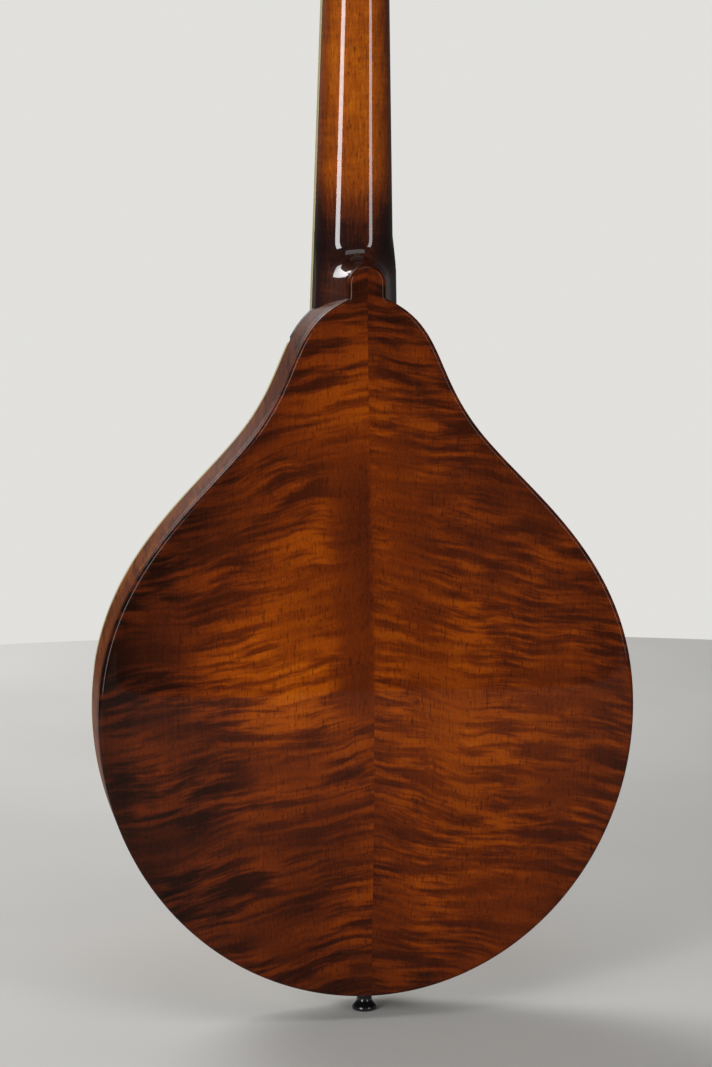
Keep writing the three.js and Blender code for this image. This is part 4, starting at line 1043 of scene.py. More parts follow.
@dataclass
class Body:
    """The carved plates, the bent ribs, the bindings, and the blocks and linings inside."""

    shape: BodyShape
    wear: Wardrobe
    rib: float = 2.3
    land: float = 7.6
    edge_round: float = 2.2
    binding: float = 1.6
    hole_half_width: float = 29.0
    hole_half_height: float = 20.0
    hole_above_bridge: float = 78.0
    inlays: tuple[tuple[float, float], ...] = ((4.0, 0.7), (6.0, 2.0), (9.0, 0.7))
    inlay_rise: float = 0.06
    inlay_foot: float = 0.3
    # Lighter patches in the back's tone: across, up, half their width, half their height, and how much.
    patches: tuple[tuple[float, ...], ...] = (
        (41, 176, 36, 52, 0.32), (-37, 150, 38, 60, 0.2), (0, 258, 42, 56, 0.1), (14, 298, 30, 34, 0.16),
        (-45, 62, 44, 44, 0.1))
    figure_apart: float = 700.0

    def build(self) -> None:
        """Builds every piece of the body."""
        self.back()
        self.top()
        self.rosette()
        for side, name in ((1, "treble"), (-1, "bass")):
            self.bent_rib(side, name)
            self.edge_binding(side, name)
        for name in ("head_block", "tail_block", "soundboard_brace", "top_lining_treble",
                     "top_lining_bass", "back_lining_treble", "back_lining_bass"):
            dress(name, self.wear.raw)

    def _between(self, inner: Array, outer: Array, shares: Array, face: "Face", way: int = 1) -> Array:
        """Rings part of the way from one loop to another, on a plate's face.

        Args:
            inner: the first loop, in x and z.
            outer: the last loop.
            shares: how far along each ring lies, from 0 to 1.
            face: which face of the plate.
            way: 1 for the back plate, -1 for the soundboard.

        Returns:
            The rings' points.
        """
        flat = inner[None] + (outer - inner)[None] * shares[:, None, None]
        x, z = flat[..., 0], flat[..., 1]
        reach = self.shape.outer(x, z) if face is Face.OUTSIDE else self.shape.inner(x, z)
        return np.stack([x, way * reach, z], -1)

    def back(self) -> None:
        """The back: rings from the crown to the edge, a rounded edge, and the hollowed inside.

        Each ring is a share of the way from the crown to the outline, at the arch's depth. The
        edge is a quarter round, and the land is flat where the ribs are glued.
        """
        form = self.shape
        hub = np.array([[0.0, form.arch_centre]])
        brim = form.loop(self.edge_round, tongue=True)
        rings = [self._between(hub, brim, np.linspace(0.012, 1, 76), Face.OUTSIDE)]
        for inset, drop in rounding(self.edge_round, 7)[1:]:
            rings.append(level(form.loop(inset, True), form.plate_face - drop)[None])
        for inset in (0.0, self.land):
            rings.append(level(form.loop(inset, True), form.rib_face)[None])
        pocket = form.loop(self.land + 3, True)
        rings.append(self._between(hub, pocket, np.linspace(0.97, 0.04, 16), Face.INSIDE))
        points = np.concatenate(rings)
        x, z = points[..., 0], points[..., 2]
        skin = Skin().grid(points, tone=self.stain_with_painted_light(x, z), plain=self.plain_wood(x, z))
        skin.piece("back_plate", self.wear.back, ROOT, "flamed_maple", 40)

    def stain_with_painted_light(self, x: Array, z: Array) -> Array:
        """How light the back's colour is, from 0 to 1: the hand-rubbed stain, with painted light.

        It rises from the edge inwards with the swell, is lightest in a soft oval patch on either
        side of the seam, grows lighter towards the bass side (-x) as painted light, and is darker in
        the plain strip beside the seam.

        Args:
            x: distances across the back.
            z: heights.

        Returns:
            The tone, with the painted light.
        """
        swollen = self.shape.swell(x, z)
        # Painted light: the tone grows lighter towards the bass side (-x) and darker towards the treble side.
        tone = 0.27 + 0.08 * smoothstep(0.0, 0.4, swollen) - 0.0009 * x
        for middle, height, half, tall, gain in self.patches:
            tone = tone + gain * np.exp(-(((x - middle) / half) ** 2) - ((z - height) / tall) ** 2)
        return np.clip(tone - 0.12 * self.plain_wood(x, z), 0, 1)

    def plain_wood(self, x: Array, z: Array) -> Array:
        """1 in a narrow strip of unfigured wood beside the seam, fading out at its ends."""
        strip = smoothstep(-2, 2, x) * smoothstep(24, 10, x)
        return strip * smoothstep(135, 165, z) * smoothstep(292, 265, z)

    def top(self) -> None:
        """The soundboard: rings from the oval hole out to the edge, and back along the inside."""
        form = self.shape
        reach = np.where(form.half[:, 1] <= form.joint - form.binding_stop, self.binding + 0.05, 0.0)
        outer = np.vstack([form.edge(reach), form.edge(reach, -1)[:0:-1]])
        hole = self.hole(outer)
        land = form.loop(self.land)
        rings = [self._between(hole, outer, np.linspace(0.004, 1, 60), Face.OUTSIDE, -1)]
        for depth, line in ((form.rib_face, outer), (form.rib_face, land)):
            rings.append(level(line, -depth)[None])
        rings.append(self._between(hole, land, np.linspace(0.88, 0, 14), Face.INSIDE, -1))
        mouth = self._between(hole, outer, np.zeros(1), Face.OUTSIDE, -1)
        mouth[..., 1] += 0.5
        rings.append(mouth)
        points = np.concatenate(rings)
        tone = 0.12 + 0.8 * smoothstep(0.02, 0.62, form.swell(points[..., 0], points[..., 2]))
        skin = Skin().grid(points, loop=True, tone=tone)
        skin.piece("soundboard", self.wear.top, ROOT, "spruce", 40)

    def hole(self, towards: Array, grow: float = 0.0) -> Array:
        """The oval soundhole's edge.

        Args:
            towards: another loop, whose points it faces at the same angles.
            grow: how far outside the edge to draw it.

        Returns:
            The oval's points, in x and z.
        """
        height = self.shape.arch_centre + self.hole_above_bridge
        turn = np.arctan2(towards[:, 1] - height, towards[:, 0])
        wide, tall = self.hole_half_width + grow, self.hole_half_height + grow
        return np.column_stack([wide * np.cos(turn), height + tall * np.sin(turn)])

    def rosette(self) -> None:
        """Three thin rings let in round the soundhole: bands between two ovals on the arch."""
        turn = circle(120)
        ray = np.column_stack([np.cos(turn), np.sin(turn) + self.shape.arch_centre + self.hole_above_bridge])
        for k, (grow, width) in enumerate(self.inlays):
            rows = []
            low, high = -self.inlay_foot, self.inlay_rise
            for more, proud in ((0, low), (0, high), (width, high), (width, low)):
                line = self.hole(ray, grow + more)
                rows.append(np.column_stack([line[:, 0], -self.shape.outer(*line.T) - proud, line[:, 1]]))
            finish = self.wear.black_dot if k == 1 else self.wear.binding
            skin = Skin().grid(np.array(rows), loop=True)
            skin.piece(f"rosette_{k + 1}", finish, ROOT, "ivoroid", added=True)

    def bent_rib(self, side: int, name: str) -> None:
        """One rib, with its broken edges, carried along half of the outline.

        Args:
            side: 1 for the treble side, -1 for the bass side.
            name: the side's name.
        """
        form = self.shape
        foot = form.rib_face
        wall = [0.3 - foot, *np.linspace(-foot, foot, 13)[2:-2], foot - 0.3]
        outside = [(0.25, -foot), *((0.0, y) for y in wall), (0.25, foot)]
        section = [(self.rib, -foot), *outside, (self.rib, foot)]
        length = np.r_[0, np.cumsum(np.linalg.norm(np.diff(form.half, axis=0), axis=1))]
        points = self._carried(side, section, slice(None))
        chart = np.zeros((len(points), len(section) + 1, 2))
        chart[..., 0] = length[:, None] + (0 if side > 0 else self.figure_apart)
        chart[..., 1] = np.array([y for _, y in section] + [section[0][1]])[None]
        height = points[..., 2]
        # The tone is darker near the tail, and darker towards the neck joint as painted shade beside the
        # heel.
        tone = 0.3 + 0.22 * smoothstep(20, 120, height) - 0.14 * smoothstep(250, 320, height)
        skin = Skin().grid(points, chart=chart, tone=tone)
        skin.piece(f"rib_{name}", self.wear.ribs, ROOT, "rib_maple", 50)

    def edge_binding(self, side: int, name: str) -> None:
        """The binding round one side of the soundboard's edge, rounded over at the front.

        Args:
            side: 1 for the treble side, -1 for the bass side.
            name: the side's name.
        """
        form = self.shape
        stop = int(np.sum(form.half[:, 1] <= form.joint - form.binding_stop))
        foot, face = -form.rib_face, -form.plate_face
        band = [(self.binding, foot), (0.0, foot), (0.0, face + 1.3), (0.2, face + 0.6), (0.6, face + 0.15),
                (1.2, face), (self.binding, face)]
        strip = self._carried(side, band, slice(0, stop))
        Skin().grid(strip).piece(f"binding_{name}", self.wear.binding, ROOT, "ivoroid", 50)

    def _carried(self, side: int, section: Pairs, part: slice) -> Array:
        """Carries a section along half of the outline.

        Args:
            side: 1 for the treble half, -1 for the bass half.
            section: rows of (inset, depth).
            part: which of the half outline's points to use.

        Returns:
            The grid's points.
        """
        return np.stack([level(self.shape.edge(inset, side)[part], depth) for inset, depth in section], 1)


def dress(node: str, finish: bpy.types.Material) -> None:
    """Gives a finish to a CAD node that stays in view.

    Args:
        node: the node's name.
        finish: its material.
    """
    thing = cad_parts[node]
    if not thing.material_slots:
        thing.data.materials.append(finish)
    for place in thing.material_slots:
        place.material = finish
    LOG.info("%s: kept from the frame", node)


# ---- Neck and fingerboard ----


@dataclass(frozen=True)
class Taper:
    """Lengths that the neck, the fingerboard, the nut and the strings share, from the joint."""

    scale: float = 352.0
    nut_at: float = 176.0
    half_at_joint: float = 19.25
    half_at_nut: float = 14.5
    nut_thickness: float = 4.0
    frets: int = 20
    string_at_nut: float = 8.3
    string_at_joint: float = 9.4

    def half(self, along: Array | float) -> Array | float:
        """Half the fingerboard's width."""
        return self.half_at_joint - (self.half_at_joint - self.half_at_nut) / self.nut_at * along

    def fret(self, number: Array | float) -> Array | float:
        """Where a fret lies: the string's length shrinks by the twelfth root of 2 with each fret."""
        return self.nut_at - self.scale * (1 - 2 ** (-number / 12))

    @property
    def head_at(self) -> float:
        """Where the head tilts back."""
        return self.nut_at + self.nut_thickness

    @property
    def board_end(self) -> float:
        """Where the fingerboard ends over the soundboard."""
        return float(self.fret(self.frets)) - 4.0

    @property
    def span(self) -> float:
        """How far the strings run on from the joint to the bridge."""
        return self.scale - self.nut_at

    @property
    def string_at_bridge(self) -> float:
        """How high the strings' undersides lie over the bridge, above the neck's own plane."""
        return self.string_at_joint + (self.string_at_joint - self.string_at_nut) / self.nut_at * self.span


JOINT_HEIGHT = 342.0
NECK_LEAN, HEAD_LEAN = math.radians(6), math.radians(14)
NECK_SEAT = Seat((0.0, -21.8, JOINT_HEIGHT), NECK_LEAN)
HEAD_SEAT = NECK_SEAT.then((0.0, 0.0, Taper().head_at), HEAD_LEAN)


def joined(a: Array, b: Array, reach: float) -> Array:
    """The smooth union of two fields: the lesser, less h^2 r / 4 where they differ by under r."""
    h = np.maximum(reach - np.abs(a - b), 0) / reach
    return np.minimum(a, b) - h * h * reach / 4


@dataclass
class Neck:
    """The neck's shaft, heel and head in one carved piece."""

    taper: Taper
    wear: Wardrobe
    depth_at_heel: float = 16.5
    depth_at_nut: float = 14.5
    heel_half: float = 18.4
    heel_tip_half: float = 8.8
    heel_length: float = 30.0
    heel_tip_length: float = 15.2
    heel_back: float = 16.9
    heel_front: float = -19.5
    heel_oval: float = 0.8
    head_thickness: float = 14.0

    def build(self) -> None:
        """Builds the carved neck and its head."""
        skin = Skin()
        self.carve(skin)
        self.riser(skin)
        head = evened(head_outline(0.0), 160)
        skin.solid_of(head, slab_levels(0.0, self.head_thickness, 1.6), HEAD_SEAT, tone=0.2)
        skin.piece("neck", self.wear.neck, ROOT, "neck_maple", 40)
        dress("truss_rod", self.wear.steel)
        dress("truss_rod_nut", self.wear.brass)

    def field_at(self, x: Array, y: Array, s: Array) -> Array:
        """A field that is below 0 inside the neck, in the neck's own axes.

        The shaft is an oval section, with powers 2.1 across and 2.4 deep. The heel is a tongue
        with an oval end that narrows and shortens towards the back, and the head is a slab. They
        are joined smoothly.

        Args:
            x: distances across.
            y: depths behind the neck's plane.
            s: distances up from the joint.

        Returns:
            The field.
        """
        share = np.clip(s / self.taper.head_at, 0, 1)
        wide = self.taper.half(s)
        deep = self.depth_at_heel + (self.depth_at_nut - self.depth_at_heel) * share
        value = (np.abs(x) / wide) ** 2.1 + (np.maximum(y, 0) / deep) ** 2.4
        shaft = np.maximum((value ** (1 / 2.25) - 1) * deep, s - self.taper.head_at - 2)
        place = NECK_SEAT.put(np.stack([x, y, s], -1))
        t = np.clip((place[..., 1] - self.heel_front) / (self.heel_back - self.heel_front), 0, 1)
        half = self.heel_half + (self.heel_tip_half - self.heel_half) * t**1.3
        length = self.heel_tip_length + (self.heel_length - self.heel_tip_length) * (1 - t) ** 2.2
        tall = self.heel_oval * half
        past = np.maximum(place[..., 2] - (JOINT_HEIGHT + length - tall), 0)
        heel = (np.sqrt((x / half) ** 2 + (past / tall) ** 2) - 1) * half
        turned_to = HEAD_SEAT.take(place)
        side = np.abs(x) - np.interp(turned_to[..., 2], *head_widths()) + 0.3
        depth, height = turned_to[..., 1], turned_to[..., 2]
        slab = np.maximum(np.maximum(side, depth - self.head_thickness + 0.2), 0.6 - height)
        carved = np.maximum(joined(shaft, heel, 9.0), np.abs(x) - wide - 0.05)
        return joined(carved, slab, 7.0)

    def solve(self, centre: Array, way: Array, s: Array, far: float = 70.0) -> Array:
        """How far rays run before they leave the neck, by halving an interval 30 times.

        Args:
            centre: where the rays start, in x and y.
            way: their directions in x and y.
            s: their distances up from the joint.
            far: a length that is outside the neck everywhere.

        Returns:
            The lengths.
        """
        low, high = np.zeros(way.shape[:-1]), np.full(way.shape[:-1], far)
        for _ in range(30):
            mid = (low + high) / 2
            x, y = centre[0] + way[..., 0] * mid, centre[1] + way[..., 1] * mid
            inside = self.field_at(x, y, s) < 0
            deep = NECK_SEAT.put(np.stack([x, y, np.broadcast_to(s, x.shape)], -1))[..., 1]
            inside &= deep < self.heel_back
            low, high = np.where(inside, mid, low), np.where(inside, high, mid)
        return low

    def carve(self, skin: Skin) -> None:
        """The shaft and heel: at each station, rays from inside find the smooth union's surface.

        Args:
            skin: takes the surface.
        """
        stations = np.r_[np.linspace(-16, 10, 10), np.linspace(11, 20, 34), np.linspace(20.6, 44, 44),
                         np.linspace(46, 166, 50), np.linspace(167, 197, 46)]
        front = np.maximum(0, (stations - self.taper.head_at) * math.tan(HEAD_LEAN) + 0.4)
        columns = 96
        level_way = np.tile([1.0, 0.0], (len(stations), 1))
        corner = self.solve((0 * front, front + 0.02), level_way, stations)
        rise = 4.0
        first = np.arctan2(-rise, corner)
        share = np.linspace(0, 1, columns)[None]
        angle = first[:, None] + (math.pi - 2 * first[:, None]) * share
        way = np.stack([np.cos(angle), np.sin(angle)], -1)
        s = np.broadcast_to(stations[:, None], angle.shape)
        reach = self.solve((0.0, (front + rise)[:, None]), way, s)
        points = np.stack([way[..., 0] * reach, front[:, None] + rise + way[..., 1] * reach, s], -1)
        # Round the heel the tone is darkened, as dark stain with painted shade where the neck curves into the
        # heel. The stain is dark under the head and at the shaft's edges.
        tone = 0.62 - 0.45 * smoothstep(62, 22, s) + 0.17 * smoothstep(24, 8, s)
        tone = tone - 0.35 * smoothstep(150, 185, s)
        tone = tone - 0.16 * smoothstep(0.72, 1.0, np.abs(points[..., 0]) / self.taper.half(s))
        # Painted shade: the bass side of the shaft (-x) is darkened.
        tone = tone - 0.14 * smoothstep(-4, -14, points[..., 0])
        skin.grid(NECK_SEAT.put(points), tone=tone)

    def riser(self, skin: Skin) -> None:
        """The tongue under the fingerboard, let down on to the soundboard: a tapered bar.

        Args:
            skin: takes the surface.
        """
        along = np.linspace(self.taper.board_end + 1, 1, 12)
        half = self.taper.half(along) - 1.5
        corners = ((half, 0), (-half, 0), (-half, 8), (half, 8))
        ring = np.stack([np.column_stack([x, 0 * along + y, along]) for x, y in corners], 1)
        skin.grid(NECK_SEAT.put(ring), tone=np.full(ring.shape[:2], 0.15))


@dataclass
class Fingerboard:
    """The ebony board with its binding, frets, marker dots and nut."""

    taper: Taper
    wear: Wardrobe
    top: float = -6.6
    bottom: float = -0.3
    binding: float = 1.5
    fret_width: float = 2.0
    fret_height: float = 1.0
    dots: tuple[tuple[int, float], ...] = ((5, 0), (7, 0), (10, 0), (12, -7.5), (12, 7.5), (15, 0))

    def outline(self, inset: float, low: float, high: float) -> Array:
        """The tapered board's outline, with many points along each side.

        Args:
            inset: how far its sides are drawn in.
            low: where it ends over the soundboard.
            high: where it ends at the nut.

        Returns:
            The outline's points, in x and z.
        """
        along = np.linspace(low, high, 24)
        right = np.column_stack([self.taper.half(along) - inset, along])
        left = (right * (-1, 1))[::-1]
        return np.vstack([right, left])

    def build(self) -> None:
        """Builds the board and what is let into it."""
        taper = self.taper
        core = self.outline(self.binding, taper.board_end + self.binding, taper.nut_at)
        core = np.repeat(core[None], 3, 0)
        depths = np.array([self.top, -3.0, self.bottom])
        block = np.stack([core[..., 0], np.broadcast_to(depths[:, None], core.shape[:2]), core[..., 1]], -1)
        Skin().grid(NECK_SEAT.put(block)).piece("fingerboard", self.wear.ebony, ROOT, "ebony")
        self.trim()
        self.frets()
        self.markers()
        self.nut()

    def trim(self) -> None:
        """The binding: a band round three sides, whose section is carried along the outline."""
        rows = []
        for inset, depth in ((0, self.bottom), (0, self.top + 0.35), (0.12, self.top + 0.1), (0.4, self.top),
                             (self.binding, self.top), (self.binding, self.bottom)):
            line = self.outline(inset, self.taper.board_end + inset, self.taper.nut_at)
            rows.append(level(line[::-1], depth))
        points = NECK_SEAT.put(np.stack(rows, 1))
        points = np.roll(points, 24, axis=0)
        Skin().grid(points).piece("fingerboard_binding", self.wear.binding, ROOT, "ivoroid", 45)

    def frets(self) -> None:
        """Twenty wires: a low arched crown, y = h sin t over x = w cos t, with rounded ends."""
        skin = Skin()
        t = np.linspace(0, math.pi, 11)
        for number in range(1, self.taper.frets + 1):
            along = float(self.taper.fret(number))
            half = float(self.taper.half(along)) - 0.3
            edge = np.array([half, half - 0.35, half - 0.9])
            x = np.r_[-edge, np.linspace(2 - half, half - 2, 5), edge[::-1]]
            fall = np.r_[0.25, 0.7, 0.95, np.ones(5), 0.95, 0.7, 0.25]
            y = self.top + 0.05 - self.fret_height * np.sin(t)[None] * fall[:, None]
            z = along + self.fret_width / 2 * np.cos(t)[None] * np.ones((len(x), 1))
            skin.grid(NECK_SEAT.put(np.stack([np.broadcast_to(x[:, None], y.shape), y, z], -1)))
        skin.piece("fret_wires", self.wear.steel, ROOT, "plain_steel", 60, added=True)

    def markers(self) -> None:
        """Round dots in the face and small ones in the side of the binding."""
        face, edge = Skin(), Skin()
        for number, x in self.dots:
            at = (float(self.taper.fret(number)) + float(self.taper.fret(number - 1))) / 2
            turned(face, np.array([(2.4, 0), (2.4, -0.02)]), (x, self.top - 0.02, at), Axis.Y, NECK_SEAT, 28)
            side = -float(self.taper.half(at)) - 0.01
            if x <= 0:
                dot = np.array([(0.8, 0), (0.8, -0.03)])
                turned(edge, dot, (side, -3.2, at - x * 0.35), Axis.X, NECK_SEAT, 18)
        face.piece("face_dots", self.wear.pearl, ROOT, "bone", added=True)
        edge.piece("side_dots", self.wear.black_dot, ROOT, "black_plastic", added=True)

    def nut(self) -> None:
        """The nut: a bar whose top dips at each string by a narrow bell curve."""
        x = np.linspace(-self.taper.half_at_nut + 0.05, self.taper.half_at_nut - 0.05, 260)
        slots = [(s.nut_x, s.radius) for s in string_set()]
        dip = sum(np.exp(-(((x - middle) / (r + 0.22)) ** 2)) * (r + 0.3) for middle, r in slots)
        near, far = self.taper.nut_at, self.taper.head_at - 0.3
        section = [(self.bottom, near), (-6.0, near), (-8.3, near + 0.1), (-8.75, near + 0.8),
                   (-8.6, near + 2.2), (-8.0, far - 0.4), (-7.0, far), (self.bottom, far)]
        high = np.array([y for y, _ in section])
        weight = np.clip((-high - 7.4) / 0.9, 0, 1)
        y = high[None] + weight[None] * dip[:, None]
        z = np.broadcast_to(np.array([z for _, z in section])[None], y.shape)
        points = np.stack([np.broadcast_to(x[:, None], y.shape), y, z], -1)
        Skin().grid(NECK_SEAT.put(points)).piece("nut", self.wear.bone, ROOT, "bone", 50)


# ---- Strings ----


@dataclass(frozen=True)
class PostRow:
    """Where the four posts of a side stand on the head, and their gears behind it."""

    across: float = 18.5
    first: float = 30.0
    spacing: float = 22.8
    radius: float = 3.0
    axle_above: float = 7.102
    axle_depth: float = 19.0

    def height(self, place: int) -> float:
        """Height of a post on the head, counted from 0."""
        return self.first + self.spacing * place


ROW = PostRow()


@dataclass(frozen=True)
class StringPath:
    """One string: its places across the nut, the bridge and the hooks, and its post."""

    name: str
    radius: float
    nut_x: float
    bridge_x: float
    hook_x: float
    side: int
    post: float


def string_set() -> list[StringPath]:
    """Four courses of two alike.

    Returns:
        The strings, from the lowest to the highest.
    """
    paths = []
    for course, (letter, radius) in enumerate(zip("gdae", (0.5, 0.33, 0.2, 0.14))):
        for pair in (0, 1):
            middle = course - 1.5
            bass = course < 2
            inner = (pair == 1) if bass else (pair == 0)
            row = (0 if course in (0, 3) else 2) + int(inner)
            paths.append(StringPath(
                f"string_{letter}_{pair + 1}", radius, middle * 7.3 + (pair - 0.5) * 2,
                middle * 12.3 + (pair - 0.5) * 2.8, (course * 2 + pair - 3.5) * 4.2,
                -1 if bass else 1, ROW.height(row),
            ))
    return paths


@dataclass
class Strings:
    """Eight strings, from the tailpiece's hooks over the saddle and the nut to their posts."""

    taper: Taper
    wear: Wardrobe
    hook_top: float
    turns: int = 2
    tension_end: float = 39.6
    loop_middle: float = 37.6

    def build(self) -> None:
        """Builds each string as a round bar along its path."""
        for string in string_set():
            wound = string.radius > 0.3
            finish, slot = (self.wear.wound, "wound_bronze") if wound else (self.wear.steel, "plain_steel")
            skin = swept(Skin(), self.path(string), string.radius, 10)
            swept(skin, self.eye(string), 0.32, 8, (0.0, 0.0, 1.0))
            skin.piece(string.name, finish, ROOT, slot, 60)

    def path(self, s: StringPath) -> Array:
        """Straight runs over saddle and nut, then a coil that goes two turns down its post.

        Args:
            s: the string.

        Returns:
            The points of its middle line, in the frame.
        """
        taper, at_nut = self.taper, -self.taper.string_at_nut - s.radius
        hook = np.array([[s.hook_x, self.hook_top + 1.5, self.tension_end]])
        bridge = NECK_SEAT.put(np.array([[s.bridge_x, -taper.string_at_bridge - s.radius, -taper.span]]))
        nut = NECK_SEAT.put(np.array([[s.nut_x, at_nut, taper.head_at - 3.0],
                                      [s.nut_x, at_nut + 0.05, taper.head_at - 0.6]]))
        coil = ROW.radius + s.radius + 0.12
        turn = np.linspace(0, 2 * math.pi * self.turns, 32 * self.turns + 1)
        drop = turn / (2 * math.pi) * (2 * s.radius + 0.25)
        wound = np.column_stack([s.side * (ROW.across - coil * np.cos(turn)), -2.3 - 0.68 * 11.5 + drop,
                                 s.post + coil * np.sin(turn)])
        runs = []
        stops = np.vstack([hook, bridge, nut, HEAD_SEAT.put(wound[:1])])
        for a, b, steps in zip(stops[:-1], stops[1:], (10, 24, 2, 10)):
            runs.append(a + (b - a) * np.linspace(0, 1, steps, endpoint=False)[:, None])
        return np.vstack([*runs, HEAD_SEAT.put(wound)])

    def eye(self, s: StringPath) -> Array:
        """The loop that holds the string's end round its hook: an oval, nearly closed.

        Args:
            s: the string.

        Returns:
            The points of its middle line, in the frame.
        """
        turn = np.linspace(0.25, 2 * math.pi - 0.25, 25)
        return np.column_stack([s.hook_x + 1.35 * np.sin(turn), np.full(25, self.hook_top + 1.6),
                                self.loop_middle + 2.1 * np.cos(turn)])


# ---- Head and tuners ----


def head_outline(margin: float) -> Array:
    """The head's outline in its own axes: a curve out from the neck, straight sides, a low crest.

    Args:
        margin: how far it is drawn in.

    Returns:
        The outline's points, in x and z.
    """
    half = 14.34 - margin
    low = np.array([half, margin])
    first = np.array([31.0 - margin, 18.6])
    flare = bezier(low, np.array([half + 1, 9.3]), np.array([28.0 - margin, 10.2]), first, 24)
    top = np.array([34.0 - margin, 114.0])
    corner = quadratic(top, np.array([32.0 - margin, 123.0 - margin]), np.array([12.0, 125.0 - margin]), 20)
    crest = quadratic(corner[-1], np.array([5.0, 126.0 - margin]), np.array([0.0, 128.0 - margin]), 10)
    return mirrored(np.vstack([flare, np.linspace(first, top, 16)[1:], corner[1:], crest[1:]]))


def quadratic(a: Array, b: Array, c: Array, count: int) -> Array:
    """Points of the quadratic curve from a to c towards b."""
    t = np.linspace(0, 1, count)[:, None]
    return (1 - t) ** 2 * a + 2 * (1 - t) * t * b + t * t * c


def head_widths() -> tuple[Array, Array]:
    """Heights on the head and half its width there, for the neck to run into."""
    half = head_outline(0.0)[:39]
    return half[:, 1], half[:, 0]


@dataclass
class Headplate:
    """The black veneer on the head's face, and the bell-shaped cover over the truss rod."""

    wear: Wardrobe
    thickness: float = 2.0
    glue: float = 0.3
    cover: float = 1.4
    screws: tuple[float, float] = (5.2, 24.5)

    def build(self) -> None:
        """Builds the veneer, the cover and its two screws."""
        even = evened(head_outline(0.3), 160)
        even[:, 1] = np.maximum(even[:, 1], 2.6)
        levels = slab_levels(-self.glue - self.thickness, -self.glue + 0.3, 0.35)
        plate = Skin().solid_of(even, levels, HEAD_SEAT)
        plate.piece("headplate", self.wear.veneer, ROOT, "ebony", 50)
        face = -2 * self.glue - self.thickness
        top = face - self.cover
        low, high = self.screws
        lower = quadratic(np.array([8.5, low - 2.2]), np.array([9, low + 8]), np.array([6.5, low + 12]), 14)
        upper = quadratic(lower[-1], np.array([3.4, high - 3]), np.array([2.8, high]), 12)
        tip = quadratic(upper[-1], np.array([2, high + 3]), np.array([0, high + 3.2]), 8)
        bell = evened(mirrored(np.vstack([lower, upper[1:], tip[1:]])), 120)
        levels = [(0.9, top), (0.5, top), (0.15, top + 0.2), (0, top + 0.5), (0, face + 0.3)]
        Skin().solid_of(bell, levels, HEAD_SEAT).piece(
            "truss_rod_cover", self.wear.plastic, ROOT, "black_plastic", 50)
        for number, z in enumerate(self.screws, 1):
            name = f"cover_screw_{number}"
            skin = screw(Skin(), (0.0, top + 0.05, z), -1, 1.9, 1.0, HEAD_SEAT)
            skin.piece(name, self.wear.nickel, ROOT, "nickel_plate", 40)


def screw(skin: Skin, at: Point, out: int, radius: float, height: float, place: Seat) -> Skin:
    """Adds a round-headed screw with a driver slot, facing along y.

    The head is a cap, height h (1 - 0.75 (r / R)^2), with a slot 0.32 R wide let down across it.

    Args:
        skin: takes the surface.
        at: the middle of the head's foot.
        out: 1 or -1, the way along y that the head faces.
        radius: the head's radius.
        height: the head's height.
        place: the seat.

    Returns:
        The skin.
    """
    r = np.linspace(0.04, 1, 12)
    turn = circle(48)
    x, z = radius * r[:, None] * np.cos(turn), radius * r[:, None] * np.sin(turn)
    y = height * (1 - 0.75 * r[:, None] ** 2) * np.ones_like(x)
    y = np.where(np.abs(x) < 0.16 * radius, np.minimum(y, height * 0.35), y)
    rim = np.stack([x[-1], np.full(48, -0.4), z[-1]], -1)[None]
    cap = np.concatenate([np.stack([x, y, z], -1), rim]) * (1, out, 1) + np.array(at)
    return skin.grid(place.put(cap))


